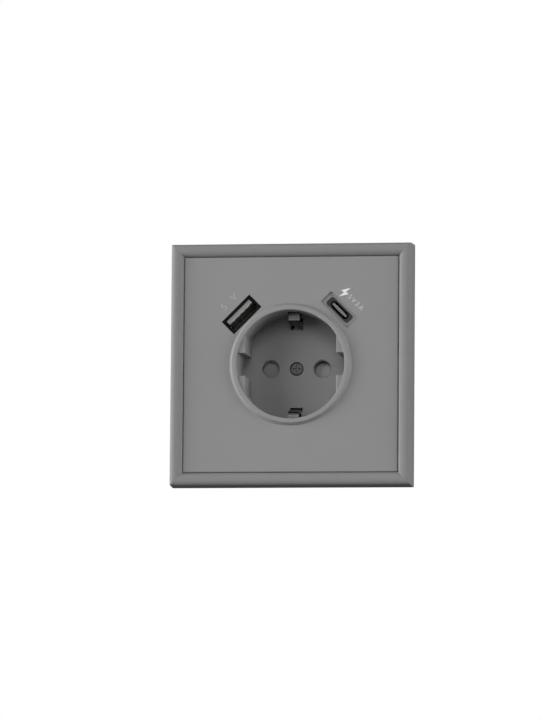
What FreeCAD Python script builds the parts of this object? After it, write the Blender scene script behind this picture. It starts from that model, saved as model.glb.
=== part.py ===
import FreeCAD, Part
import math
import os

import Sketcher

# An earthed flush wall socket with a round recess and two charging ports.
# It stands as it is fixed: +Z up, front faces -Y, and the origin is at the middle of the
# frame, on the wall plane. Everything behind the wall plane has a positive y.

SIZES = {
    # square frame
    "frame_border": 4.95,
    "frame_height": 9.2,
    "frame_draft": 2.0,
    "frame_edge_round": 1.8,
    "frame_bead_round": 2.6,
    "frame_corner_round": 0.5,
    "frame_outer_wall": 1.8,
    "frame_inner_wall": 1.3,
    "frame_top_wall": 1.8,
    "lip_overlap": 2.5,
    "lip_front": 3.0,
    "lip_wall": 1.5,
    "lip_room_wall": 0.3,
    "frame_rib_wall": 1.0,
    "frame_rib_step": 14.0,
    "frame_rib_set_in": 1.0,
    "frame_rib_lap": 0.3,
    # central plate
    "plate_gap": 0.05,
    "plate_front": 7.6,
    "plate_wall": 2.0,
    "plate_round": 0.45,
    "plate_rib_wall": 1.2,
    "plate_rib_gap": 0.4,
    "skirt_wall": 1.4,
    # rim and recess
    "rim_height": 1.5,
    "rim_width": 1.55,
    "rim_slope_width": 1.0,
    "rim_round": 0.35,
    "well_radius": 19.65,
    "well_wall": 1.6,
    "well_depth": 17.5,
    "well_floor": 2.0,
    "guide_distance": 16.6,
    "guide_gap": 8.3,
    "guide_set_back": 0.8,
    "guide_round": 0.3,
    "guide_root": 0.96,
    # pins and the middle screw
    "pin_spacing": 19.0,
    "pin_hole_radius": 3.0,
    "pin_hole_chamfer": 0.45,
    "screw_head_radius": 2.3,
    "screw_head_height": 1.3,
    "screw_sink": 0.3,
    "screw_radius": 1.5,
    "screw_length": 8.6,
    "screw_clearance": 0.2,
    "thread_allowance": 0.02,
    "screw_slot_width": 0.6,
    "screw_slot_depth": 0.7,
    "screw_cross_length": 3.2,
    "head_round": 0.35,
    "cross_share": 0.62,
    "small_cross_width": 0.45,
    "small_cross_depth": 0.5,
    "post_radius": 3.0,
    # earth clips
    "clip_width": 4.0,
    "clip_gap": 0.25,
    "clip_strip": 0.8,
    "clip_distance": 18.0,
    "clip_reach": 15.2,
    "clip_tip": 20.15,
    "clip_front": 0.3,
    "clip_shoulder": 4.3,
    "clip_turn_up": 1.9,
    "clip_knee": 9.0,
    "clip_knee_round": 2.5,
    "clip_shoulder_round": 1.7,
    "clip_tip_round": 1.4,
    "clip_slot_inner": 14.2,
    "channel_wall": 0.5,
    "channel_front": 2.0,
    "bridge_width": 8.0,
    "bridge_end": 1.6,
    "bridge_lap": 2.0,
    "collar_wall": 1.0,
    "collar_depth": 1.6,
    "lance_length": 8.0,
    # ports
    "port_angle": 45.0,
    "port_a_bearing": 45.3,
    "port_a_gap": 0.25,
    "port_c_bearing": 48.2,
    "port_c_gap": 1.37,
    "port_clearance": 0.1,
    "collar_a_border": 0.4,
    "collar_a_depth": 1.6,
    "collar_a_round": 0.3,
    "mouth_a_border": 0.35,
    "collar_set_back": 0.25,
    "shell_a_length": 13.2,
    "shell_a_height": 5.5,
    "shell_a_round": 0.6,
    "shell_sheet": 0.3,
    "tongue_a_side_gap": 0.6,
    "tongue_a_height": 1.6,
    "tongue_a_top_gap": 0.3,
    "tongue_set_back": 0.8,
    "tongue_end": 5.2,
    "contact_set_back": 0.4,
    "contact_a_spacing": 2.5,
    "contact_a_middle": 2.0,
    "contact_a_width": 1.1,
    "contact_a_height": 0.15,
    "recess_c_length": 13.9,
    "recess_c_height": 5.4,
    "recess_c_round": 0.7,
    "recess_c_depth": 0.7,
    "collar_c_length": 10.8,
    "collar_c_height": 3.4,
    "collar_c_round": 0.9,
    "collar_c_depth": 1.3,
    "collar_c_step": 0.15,
    "mouth_c_length": 8.5,
    "mouth_c_height": 2.6,
    "shell_c_length": 8.94,
    "shell_c_height": 3.2,
    "tongue_c_side_gap": 0.67,
    "tongue_c_height": 0.85,
    "contact_c_width": 0.3,
    "contact_c_spacing": 0.5,
    "contact_c_height": 0.08,
    # steel yoke
    "yoke_margin": 5.5,
    "yoke_play": 1.0,
    "yoke_sheet": 1.0,
    "yoke_corner": 5.0,
    "yoke_corner_round": 2.0,
    "yoke_well_room": 3.75,
    "fixing_spacing": 60.0,
    "fixing_hole_radius": 1.9,
    "fixing_slot_length": 6.6,
    "corner_hole_inset": 5.5,
    "corner_hole_radius": 1.75,
    "port_notch_play": 0.7,
    "port_notch_end": 1.45,
    "arm_width": 10.0,
    "arm_end_room": 5.0,
    "arm_clearance": 0.1,
    "yoke_bend_round": 0.8,
    "rivet_radius": 1.2,
    "rivet_head_radius": 2.2,
    "rivet_head_height": 0.55,
    "rivet_inset": 4.0,
    "rivet_length": 4.0,
    # port carrier and port board
    "carrier_wall": 0.7,
    "carrier_well_gap": 0.6,
    "carrier_depth": 6.6,
    "carrier_end": 8.2,
    "carrier_screw_across": 7.5,
    "carrier_screw_up": 26.6,
    "carrier_screw_radius": 0.9,
    "carrier_screw_head": 1.7,
    "carrier_screw_head_height": 0.7,
    "carrier_screw_length": 5.0,
    "board_sheet": 1.2,
    "board_edge": 2.4,
    "chip_size": 4.0,
    "chip_aside": 1.2,
    "chip_height": 0.9,
    # moulded base
    "base_side_room": 1.75,
    "base_side_cut": 3.6,
    "base_top": 12.5,
    "base_depth": 29.0,
    "lobe_half_width": 7.0,
    "lobe_top": 19.5,
    "lobe_gap": 1.4,
    "chamber_radius": 13.9,
    "chamber_depth": 4.0,
    "pin_entry_wall": 1.4,
    "jaw_pocket_width": 6.4,
    "jaw_pocket_height": 7.6,
    "fit_gap": 0.1,
    "cover_sheet": 1.0,
    # line contacts
    "strip": 0.6,
    "jaw_width": 5.5,
    "jaw_front_gap": 0.5,
    "jaw_lead": 3.1,
    "jaw_back_room": 2.4,
    "jaw_lip_gap": 5.2,
    "jaw_pinch_gap": 3.7,
    "jaw_back_gap": 4.6,
    "tail_width": 4.0,
    "solder_tab_width": 1.2,
    "solder_tab_length": 5.2,
    # wire clamps
    "clamp_up": 15.0,
    "clamp_width": 6.0,
    "clamp_wall": 0.9,
    "clamp_thread_wall": 1.4,
    "clamp_back_room": 3.4,
    "clamp_length": 5.6,
    "clamp_inside_height": 5.5,
    "terminal_screw_radius": 1.75,
    "terminal_head_radius": 2.6,
    "terminal_head_height": 1.8,
    "terminal_screw_length": 5.0,
    "terminal_screw_back": 1.6,
    "screw_way_radius": 2.9,
    "wire_hole_radius": 1.8,
    # shutter and its spring
    "shutter_gap": 0.4,
    "shutter_plate": 2.0,
    "shutter_hub_radius": 4.0,
    "shutter_bore_gap": 0.25,
    "shutter_root": 0.3,
    "shutter_reach": 13.2,
    "shutter_spread": 41.0,
    "ramp_low": 0.6,
    "spring_wire": 0.4,
    "spring_radius": 4.75,
    "spring_turns": 1.5,
    "spring_pitch": 0.46,
    "spring_gap": 0.3,
    "spring_leg_gap": 1.2,
    # power supply and rear housing
    "power_board_set_in": 0.2,
    "power_board_side_set_in": 0.6,
    "power_board_bottom": 11.0,
    "transformer_width": 14.0,
    "transformer_room": 4.2,
    "transformer_height": 9.2,
    "core_overhang": 1.2,
    "core_set_in": 1.8,
    "part_clearance": 0.7,
    "capacitor_across": 14.4,
    "capacitor_up": 17.1,
    "input_can_radius": 4.0,
    "input_can_length": 14.0,
    "output_can_radius": 3.15,
    "output_can_length": 11.0,
    "can_edge_round": 0.4,
    "link_pin_width": 0.64,
    "link_spacing": 2.54,
    "link_up": 24.6,
    "link_block_height": 2.4,
    "link_solder_end": 0.6,
    "bridge_chip_width": 6.4,
    "bridge_chip_height": 4.6,
    "bridge_chip_depth": 1.6,
    "housing_board_gap": 0.8,
    "housing_chip_room": 0.4,
    "housing_play": 0.6,
    "housing_side_play": 0.25,
    "housing_wall": 1.2,
    "housing_edge_round": 1.6,
    "housing_corner_round": 4.0,
    "housing_screw_inset": 4.8,
    "housing_screw_radius": 1.1,
    "housing_screw_head": 2.1,
    "housing_screw_head_height": 1.2,
    "housing_screw_length": 9.0,
    "screw_end_gap": 1.0,
    "driver_way_depth": 4.8,
}

CONTACTS_IN_ROW = 8
RIBS_PER_SIDE = 5
LINK_PINS = 4
PAST = 1.0  # how far a cutting shape reaches outside what it cuts


class Dim:
    """A length worked out from the sheet: its value now, and the expression that binds it."""

    def __init__(self, value, text):
        self.value = value
        self.text = text

    def __add__(self, other):
        other = dim(other)
        return Dim(self.value + other.value, f"({self.text} + {other.text})")

    def __sub__(self, other):
        other = dim(other)
        return Dim(self.value - other.value, f"({self.text} - {other.text})")

    def __mul__(self, other):
        other = dim(other)
        return Dim(self.value * other.value, f"({self.text} * {other.text})")

    def __truediv__(self, other):
        other = dim(other)
        return Dim(self.value / other.value, f"({self.text} / {other.text})")

    def __neg__(self):
        return Dim(-self.value, f"(-{self.text})")

    def __radd__(self, other):
        return dim(other) + self

    def __rsub__(self, other):
        return dim(other) - self

    def __rmul__(self, other):
        return dim(other) * self

    def root(self):
        return Dim(math.sqrt(self.value), f"sqrt({self.text})")

    def cosine(self):
        return Dim(math.cos(math.radians(self.value)), f"cos({self.text})")

    def sine(self):
        return Dim(math.sin(math.radians(self.value)), f"sin({self.text})")


def dim(number):
    return number if isinstance(number, Dim) else Dim(float(number), f"({float(number)!r})")


doc = FreeCAD.newDocument("WallSocket")
sheet = doc.addObject("Spreadsheet::Sheet", "Sizes")
for row, (alias, number) in enumerate(SIZES.items(), 1):
    sheet.set(f"A{row}", alias)
    sheet.set(f"B{row}", str(number))
    sheet.setAlias(f"B{row}", alias)
doc.recompute()

S = {alias: Dim(number, f"Sizes.{alias}") for alias, number in SIZES.items()}

NODES = []


# Helpers for bodies, sketches and features

def new_body(label):
    body = doc.addObject("PartDesign::Body", label)
    body.Label = label
    NODES.append(body)
    return body


def own_shape(label, shape):
    """A piece whose form no sketch feature gives, made from curves and solids in code."""
    piece = doc.addObject("Part::Feature", label)
    piece.Label = label
    piece.Shape = shape
    NODES.append(piece)
    return piece


class Drawing:
    """A sketch in one of a body's own planes, moved and turned, with each point held by the sheet."""

    def __init__(self, body, name, role, level, at=(0, 0), turn=None):
        sketch = body.newObject("Sketcher::SketchObject", name)
        plane = [item for item in body.Origin.OriginFeatures if item.Role == role][0]
        sketch.AttachmentSupport = [(plane, "")]
        sketch.MapMode = "FlatFace"
        across, up, level = dim(at[0]), dim(at[1]), dim(level)
        sketch.setExpression("AttachmentOffset.Base.x", across.text)
        sketch.setExpression("AttachmentOffset.Base.y", up.text)
        sketch.setExpression("AttachmentOffset.Base.z", level.text)
        if turn is not None:
            spin = FreeCAD.Rotation(FreeCAD.Vector(0, 0, 1), turn.value)
            sketch.AttachmentOffset = FreeCAD.Placement(FreeCAD.Vector(), spin)
            sketch.setExpression("AttachmentOffset.Rotation.Angle", turn.text)
        self.sketch = sketch
        self.body = body

    def hold(self, kind, element, point, size):
        fixed = Sketcher.Constraint(kind, -1, 1, element, point, size.value)
        place = self.sketch.addConstraint(fixed)
        self.sketch.setExpression(f"Constraints[{place}]", size.text)

    def polygon(self, points):
        """A closed outline of straight edges through the given points."""
        points = [(dim(x), dim(y)) for x, y in points]
        ends = [FreeCAD.Vector(x.value, y.value, 0) for x, y in points]
        first = self.sketch.GeometryCount
        count = len(points)
        for k in range(count):
            self.sketch.addGeometry(Part.LineSegment(ends[k], ends[(k + 1) % count]), False)
        for k in range(count):
            follow = first + (k + 1) % count
            self.sketch.addConstraint(Sketcher.Constraint("Coincident", first + k, 2, follow, 1))
        for k, (x, y) in enumerate(points):
            self.hold("DistanceX", first + k, 1, x)
            self.hold("DistanceY", first + k, 1, y)
        return self

    def rectangle(self, left, bottom, right, top):
        return self.polygon([(left, bottom), (right, bottom), (right, top), (left, top)])

    def centred(self, width, height):
        width, height = dim(width) / 2, dim(height) / 2
        return self.rectangle(-width, -height, width, height)

    def rounded(self, width, height, radius):
        """A centred rectangle with round corners: each arc meets both of its sides at a tangent."""
        width, height, radius = dim(width), dim(height), dim(radius)
        sketch = self.sketch
        first = sketch.GeometryCount
        far, high, r = width.value / 2, height.value / 2, radius.value
        corners = [(far - r, r - high, -90), (far - r, high - r, 0),
                   (r - far, high - r, 90), (r - far, r - high, 180)]
        for k, (x, y, start) in enumerate(corners):
            ring = Part.Circle(FreeCAD.Vector(x, y, 0), FreeCAD.Vector(0, 0, 1), r)
            arc = Part.ArcOfCircle(ring, math.radians(start), math.radians(start + 90))
            before_x, before_y, before_start = corners[k - 1]
            turn = math.radians(before_start + 90)
            leave = FreeCAD.Vector(before_x + r * math.cos(turn), before_y + r * math.sin(turn), 0)
            turn = math.radians(start)
            arrive = FreeCAD.Vector(x + r * math.cos(turn), y + r * math.sin(turn), 0)
            sketch.addGeometry(Part.LineSegment(leave, arrive), False)
            sketch.addGeometry(arc, False)
        for k in range(4):
            side, arc, ahead = first + 2 * k, first + 2 * k + 1, first + (2 * k + 2) % 8
            sketch.addConstraint(Sketcher.Constraint("Tangent", side, 2, arc, 1))
            sketch.addConstraint(Sketcher.Constraint("Tangent", arc, 2, ahead, 1))
            sketch.addConstraint(Sketcher.Constraint("Vertical" if k % 2 else "Horizontal", side))
            if k:
                sketch.addConstraint(Sketcher.Constraint("Equal", first + 1, arc))
        held = sketch.addConstraint(Sketcher.Constraint("Radius", first + 1, r))
        sketch.setExpression(f"Constraints[{held}]", radius.text)
        self.hold("DistanceY", first, 1, -height / 2)
        self.hold("DistanceX", first + 2, 1, width / 2)
        self.hold("DistanceY", first + 4, 1, height / 2)
        self.hold("DistanceX", first + 6, 1, -width / 2)
        return self

    def flat_sided(self, radius, half_width):
        """A round outline whose two sides are cut straight."""
        radius, half_width = dim(radius), dim(half_width)
        sketch = self.sketch
        far, high = half_width.value, (radius * radius - half_width * half_width).root().value
        ends = [FreeCAD.Vector(far, -high, 0), FreeCAD.Vector(far, high, 0),
                FreeCAD.Vector(-far, high, 0), FreeCAD.Vector(-far, -high, 0)]
        first = sketch.GeometryCount
        sketch.addGeometry(Part.LineSegment(ends[0], ends[1]), False)
        sketch.addGeometry(Part.Arc(ends[1], FreeCAD.Vector(0, radius.value, 0), ends[2]), False)
        sketch.addGeometry(Part.LineSegment(ends[2], ends[3]), False)
        sketch.addGeometry(Part.Arc(ends[3], FreeCAD.Vector(0, -radius.value, 0), ends[0]), False)
        for k in range(4):
            sketch.addConstraint(Sketcher.Constraint("Coincident", first + k, 2, first + (k + 1) % 4, 1))
        for arc in (first + 1, first + 3):
            sketch.addConstraint(Sketcher.Constraint("Coincident", arc, 3, -1, 1))
            held = sketch.addConstraint(Sketcher.Constraint("Radius", arc, radius.value))
            sketch.setExpression(f"Constraints[{held}]", radius.text)
        self.hold("DistanceX", first, 1, half_width)
        self.hold("DistanceX", first, 2, half_width)
        self.hold("DistanceX", first + 2, 1, -half_width)
        self.hold("DistanceX", first + 2, 2, -half_width)
        return self

    def circle(self, x, y, radius):
        x, y, radius = dim(x), dim(y), dim(radius)
        centre = FreeCAD.Vector(x.value, y.value, 0)
        ring = Part.Circle(centre, FreeCAD.Vector(0, 0, 1), radius.value)
        place = self.sketch.addGeometry(ring, False)
        self.hold("DistanceX", place, 3, x)
        self.hold("DistanceY", place, 3, y)
        held = self.sketch.addConstraint(Sketcher.Constraint("Radius", place, radius.value))
        self.sketch.setExpression(f"Constraints[{held}]", radius.text)
        return self


def wall_drawing(body, name, y, at=(0, 0), turn=None):
    """Parallel to the wall at depth y: the drawing's own x is +X, and its y is +Z."""
    return Drawing(body, name, "XZ_Plane", -dim(y), at, turn)


def side_drawing(body, name, x=0):
    """Seen from the side: the drawing's own x is depth, and its y is +Z."""
    return Drawing(body, name, "YZ_Plane", x)


def plan_drawing(body, name, z=0):
    """Seen from above: the drawing's own x is +X, and its y is depth."""
    return Drawing(body, name, "XY_Plane", z)


def feature(kind, name, drawing, length, reverse=False, draft=None, both_ways=False):
    made = drawing.body.newObject(kind, name)
    made.Profile = drawing.sketch
    made.setExpression("Length", dim(length).text)
    made.Reversed = reverse
    if draft is not None:
        made.setExpression("TaperAngle", draft.text)
    if both_ways:
        made.Midplane = True
    doc.recompute()
    return made


def pad_back(name, drawing, length):
    return feature("PartDesign::Pad", name, drawing, length, reverse=True)


def pad_front(name, drawing, length, draft=None):
    return feature("PartDesign::Pad", name, drawing, length, draft=draft)


def pad_across(name, drawing, width):
    return feature("PartDesign::Pad", name, drawing, width, both_ways=True)


def cut_back(name, drawing, length):
    return feature("PartDesign::Pocket", name, drawing, length)


def cut_front(name, drawing, length):
    return feature("PartDesign::Pocket", name, drawing, length, reverse=True)


def cut_across(name, drawing, width):
    return feature("PartDesign::Pocket", name, drawing, width, both_ways=True)


def turned(name, drawing, angle=None, groove=False):
    kind = "PartDesign::Groove" if groove else "PartDesign::Revolution"
    made = drawing.body.newObject(kind, name)
    made.Profile = drawing.sketch
    made.ReferenceAxis = (drawing.sketch, ["V_Axis"])
    if angle is not None:
        made.Midplane = True
        made.setExpression("Angle", angle.text)
    doc.recompute()
    return made


def dress(kind, body, name, sizes, choose):
    """A fillet or chamfer on the edges of the body that the choice picks."""
    base = body.Tip
    names = []
    for number, edge in enumerate(base.Shape.Edges, 1):
        if choose(edge, edge.BoundBox):
            names.append(f"Edge{number}")
    made = body.newObject(kind, name)
    made.Base = (base, names)
    for prop, size in sizes.items():
        made.setExpression(prop, size.text)
    doc.recompute()
    return made


def round_edges(body, name, radius, choose):
    return dress("PartDesign::Fillet", body, name, {"Radius": radius}, choose)


def level_edge(box, y):
    """True for an edge that lies wholly at depth y."""
    return abs(box.YMin - y) < 1e-4 and abs(box.YMax - y) < 1e-4


def upright_edge(box):
    """True for an edge that runs straight back from the wall."""
    return box.XLength < 1e-4 and box.ZLength < 1e-4 and box.YLength > 1e-3


def reach(box):
    """How far the edge gets from the middle, along X or Z."""
    return max(abs(box.XMin), abs(box.XMax), abs(box.ZMin), abs(box.ZMax))


# Places that several pieces share

plate_y = -S["plate_front"]
rim_y = plate_y - S["rim_height"]
floor_y = rim_y + S["well_depth"]
floor_back_y = floor_y + S["well_floor"]
bridge_y = floor_back_y + S["chamber_depth"]
well_outside = S["well_radius"] + S["well_wall"]
rim_outside = S["well_radius"] + S["rim_width"]
rim_foot = rim_outside + S["rim_slope_width"]
pin_x = S["pin_spacing"] / 2

# From the box screws outwards: yoke, lip, plate and frame
yoke_size = S["fixing_spacing"] + S["yoke_margin"] * 2
lip_size = yoke_size + S["yoke_play"] * 2
plate_size = lip_size + S["lip_overlap"] * 2
frame_opening = plate_size + S["plate_gap"] * 2
frame_size = frame_opening + S["frame_border"] * 2

# The ports lie against the rim's foot, each along its own bearing
collar_a_length = S["shell_a_length"] + S["collar_a_border"] * 2
collar_a_height = S["shell_a_height"] + S["collar_a_border"] * 2
port_a_far = rim_foot + S["port_a_gap"] + collar_a_height / 2
port_c_far = rim_foot + S["port_c_gap"] + S["recess_c_height"] / 2
port_a = (-port_a_far * S["port_a_bearing"].cosine(), port_a_far * S["port_a_bearing"].sine())
port_c = (port_c_far * S["port_c_bearing"].cosine(), port_c_far * S["port_c_bearing"].sine())
turn_a = S["port_angle"]
turn_c = -S["port_angle"]
shell_back_y = S["carrier_depth"]
board_back_y = shell_back_y + S["board_sheet"]
carrier_inner = well_outside + S["carrier_well_gap"]
shell_top = port_a_far + S["shell_a_height"] / 2
shell_side = S["shell_a_length"] / 2
carrier_outer = (shell_top * shell_top + shell_side * shell_side).root() + S["carrier_wall"]
board_outer = carrier_outer - S["board_edge"]

# Outwards from the recess: yoke opening, base and housing
yoke_opening = well_outside + S["yoke_well_room"]
base_half_width = well_outside + S["base_side_room"]
base_outer = base_half_width + S["base_side_cut"]
arm_inside = base_half_width + S["arm_clearance"]
arm_outside = arm_inside + S["yoke_sheet"]
arm_end_y = S["base_depth"] - S["arm_end_room"]
rivet_y = arm_end_y - S["rivet_inset"]
power_board_outer = base_outer - S["power_board_set_in"]
power_board_half_width = base_half_width - S["power_board_side_set_in"]
housing_outer = base_outer + S["housing_play"] + S["housing_wall"]
housing_half_width = (
    arm_outside + S["rivet_head_height"] + S["housing_side_play"] + S["housing_wall"])
housing_screw_across = base_half_width - S["housing_screw_inset"]

# Back from the base: its cover, the power board and the housing
cover_back_y = S["base_depth"] + S["cover_sheet"]
power_back_y = cover_back_y + S["board_sheet"]
housing_front = board_back_y + S["housing_board_gap"]
housing_back = power_back_y + S["bridge_chip_depth"] + S["housing_chip_room"] + S["housing_wall"]
transformer_y = bridge_y + S["clip_strip"] + S["transformer_room"]
lobe_back_y = transformer_y - S["lobe_gap"]
jaw_front_y = bridge_y + S["pin_entry_wall"] + S["jaw_front_gap"]
jaw_back_y = S["base_depth"] - S["jaw_back_room"]
clamp_front_y = S["base_depth"] - S["clamp_back_room"] - S["clamp_length"]
clamp_middle_y = clamp_front_y + S["clamp_length"] / 2
clamp_top_z = -S["clamp_up"] + S["clip_strip"] / 2 + S["fit_gap"]
wire_z = -S["clamp_up"] - S["clip_strip"] / 2 - S["wire_hole_radius"]
terminals = {"live": -pin_x, "earth": dim(0), "neutral": pin_x}
number = {alias: size.value for alias, size in S.items()}


def outer_frame():
    """The square frame: a drafted side wall, a rounded bead and a lip that the plate clamps."""
    body = new_body("outer_frame")
    outside = wall_drawing(body, "frame_outside", 0).centred(frame_size, frame_size)
    pad_front("frame_block", outside, S["frame_height"], draft=-S["frame_draft"])
    crest_y = -S["frame_height"]
    front_cut = wall_drawing(body, "frame_opening", crest_y).centred(frame_opening, frame_opening)
    cut_back("frame_opening_cut", front_cut, S["frame_height"] - S["lip_front"])
    lip_cut = wall_drawing(body, "frame_lip", crest_y).centred(lip_size, lip_size)
    cut_back("frame_lip_cut", lip_cut, S["frame_height"])
    room = frame_opening - S["lip_room_wall"] * 2
    lip_back = wall_drawing(body, "frame_yoke_room", 0).centred(room, room)
    cut_front("frame_yoke_room_cut", lip_back, S["lip_front"] - S["lip_wall"])
    hollow = wall_drawing(body, "frame_hollow", 0)
    inner = frame_opening + S["frame_inner_wall"] * 2
    outer = frame_size - S["frame_outer_wall"] * 2
    hollow.centred(outer, outer).centred(inner, inner)
    hollow_depth = S["frame_height"] - S["frame_edge_round"] - S["frame_top_wall"]
    cut_front("frame_hollow_cut", hollow, hollow_depth)
    ribs = wall_drawing(body, "frame_ribs", -S["frame_rib_set_in"])
    near = inner / 2 - S["frame_rib_lap"]
    far = outer / 2 + S["frame_rib_lap"]
    for k in range(RIBS_PER_SIDE):
        low = S["frame_rib_step"] * (k - (RIBS_PER_SIDE - 1) / 2) - S["frame_rib_wall"] / 2
        high = low + S["frame_rib_wall"]
        for side in (1, -1):
            ribs.rectangle(near * side, low, far * side, high)
            ribs.rectangle(low, near * side, high, far * side)
    pad_front("frame_rib_pad", ribs, hollow_depth - S["frame_rib_set_in"])

    def outer_front(edge, box):
        return level_edge(box, crest_y.value) and reach(box) > (frame_opening / 2).value + 1

    def inner_front(edge, box):
        return level_edge(box, crest_y.value) and reach(box) < (frame_opening / 2).value + 1

    def outer_corner(edge, box):
        nearest = min(abs(box.XMin), abs(box.XMax), abs(box.ZMin), abs(box.ZMax))
        return box.YLength > 3 and nearest > (frame_size / 2).value - 1

    round_edges(body, "frame_edge", S["frame_edge_round"], outer_front)
    round_edges(body, "frame_bead", S["frame_bead_round"], inner_front)
    round_edges(body, "frame_corner", S["frame_corner_round"], outer_corner)


def rib_outlines(drawing):
    """Four wedges that fill the recess outside the two guide flats, with a gap at mid height."""
    inside = S["well_radius"] + S["guide_root"]
    low = S["guide_gap"] / 2
    flat = S["guide_distance"]
    high = (inside * inside - flat * flat).root()
    far = (inside * inside - low * low).root()
    for side in (1, -1):
        for end in (1, -1):
            drawing.polygon([(flat * side, low * end), (flat * side, high * end), (far * side, low * end)])
    return drawing


def cover_plate():
    """The moulded plate in one piece with the rim, the recess, its guides and its floor."""
    body = new_body("cover_plate")
    face = wall_drawing(body, "plate_face", plate_y).centred(plate_size, plate_size)
    pad_back("plate_sheet", face, S["plate_wall"])
    skirt_y = plate_y + S["plate_wall"]
    inner = plate_size - S["skirt_wall"] * 2
    skirt = wall_drawing(body, "plate_skirt", skirt_y).centred(plate_size, plate_size)
    skirt.centred(inner, inner)
    pad_back("plate_skirt_pad", skirt, -S["lip_front"] - skirt_y)
    rib_depth = -S["lip_front"] - S["plate_rib_gap"] - skirt_y
    for name, turn in (("level", 0), ("upright", 90)):
        rib = wall_drawing(body, f"plate_rib_{name}", skirt_y, (0, 0), dim(turn))
        rib.centred(inner + S["skirt_wall"], S["plate_rib_wall"])
        pad_back(f"plate_rib_{name}_pad", rib, rib_depth)
    for name, turn in (("left", 225), ("right", 315)):
        rib = wall_drawing(body, f"plate_rib_{name}", skirt_y, (0, 0), dim(turn))
        rib.rectangle(0, -S["plate_rib_wall"] / 2, inner / 2, S["plate_rib_wall"] / 2)
        pad_back(f"plate_rib_{name}_pad", rib, rib_depth)
    mouth = wall_drawing(body, "plate_mouth", plate_y)
    mouth.circle(0, 0, S["well_radius"] + S["well_wall"] / 2)
    cut_back("plate_mouth_cut", mouth, S["plate_wall"] + rib_depth)
    well = plan_drawing(body, "well_section").polygon([
        (0, floor_y), (S["well_radius"], floor_y), (S["well_radius"], rim_y), (rim_outside, rim_y),
        (rim_foot, plate_y), (rim_foot, plate_y + S["plate_wall"]),
        (well_outside, plate_y + S["plate_wall"]),
        (well_outside, floor_back_y), (0, floor_back_y)])
    turned("well", well)
    guides_y = rim_y + S["guide_set_back"]
    ribs = rib_outlines(wall_drawing(body, "guide_section", guides_y))
    pad_back("guides", ribs, floor_y - guides_y)
    post = wall_drawing(body, "post_section", floor_back_y).circle(0, 0, S["post_radius"])
    pad_back("post", post, bridge_y - floor_back_y)
    pins = wall_drawing(body, "pin_holes", floor_y)
    for side in (1, -1):
        pins.circle(pin_x * side, 0, S["pin_hole_radius"])
    cut_back("pin_hole_cut", pins, S["well_floor"])
    sink = wall_drawing(body, "screw_seat", floor_y)
    sink.circle(0, 0, S["screw_head_radius"] + S["screw_clearance"])
    cut_back("screw_seat_cut", sink, S["screw_sink"] + S["screw_head_height"])
    way = wall_drawing(body, "screw_way", floor_y)
    way.circle(0, 0, S["screw_radius"] + S["screw_clearance"])
    cut_back("screw_way_cut", way, bridge_y - floor_y)
    slot_half = S["clip_width"] / 2 + S["clip_gap"]
    slots = wall_drawing(body, "clip_slots", floor_back_y)
    top = well_outside - S["channel_wall"]
    for end in (1, -1):
        slots.rectangle(-slot_half, S["clip_slot_inner"] * end, slot_half, top * end)
    cut_front("clip_slot_cut", slots, floor_back_y + S["channel_front"])
    a_hole = wall_drawing(body, "port_a_hole", plate_y, port_a, turn_a)
    a_hole.centred(collar_a_length + S["port_clearance"], collar_a_height + S["port_clearance"])
    cut_back("port_a_cut", a_hole, S["plate_wall"])
    c_recess = wall_drawing(body, "port_c_recess", plate_y, port_c, turn_c)
    c_recess.centred(S["recess_c_length"], S["recess_c_height"])
    cut_back("port_c_recess_cut", c_recess, S["recess_c_depth"])
    recess_corner = math.hypot(SIZES["recess_c_length"], SIZES["recess_c_height"]) / 2

    def port_corner(edge, box):
        """The short upright corners of the latest port cut."""
        away = math.hypot(edge.CenterOfMass.x - port_c[0].value, edge.CenterOfMass.z - port_c[1].value)
        return upright_edge(box) and away < recess_corner + 0.5

    round_edges(body, "port_c_recess_corner", S["recess_c_round"], port_corner)
    c_hole = wall_drawing(body, "port_c_hole", plate_y + S["recess_c_depth"], port_c, turn_c)
    c_hole.centred(S["collar_c_length"] + S["port_clearance"], S["collar_c_height"] + S["port_clearance"])
    cut_back("port_c_cut", c_hole, S["plate_wall"])

    def hole_corner(edge, box):
        return port_corner(edge, box) and box.YMin > (plate_y + S["recess_c_depth"]).value - 1e-4

    round_edges(body, "port_c_corner", S["collar_c_round"], hole_corner)

    def plate_edge(edge, box):
        return level_edge(box, plate_y.value) and reach(box) > (plate_size / 2).value - 1e-3

    def rim_edge(edge, box):
        return level_edge(box, rim_y.value)

    def guide_edge(edge, box):
        return level_edge(box, guides_y.value) and box.XLength < 1e-4

    def pin_edge(edge, box):
        near = abs(abs(edge.CenterOfMass.x) - pin_x.value) < 1e-3 and abs(edge.CenterOfMass.z) < 1e-3
        return near and level_edge(box, floor_y.value)

    round_edges(body, "plate_edge", S["plate_round"], plate_edge)
    round_edges(body, "rim_edge", S["rim_round"], rim_edge)
    round_edges(body, "guide_edge", S["guide_round"], guide_edge)
    chamfer = {"Size": S["pin_hole_chamfer"]}
    dress("PartDesign::Chamfer", body, "pin_lead_in", chamfer, pin_edge)


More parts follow.
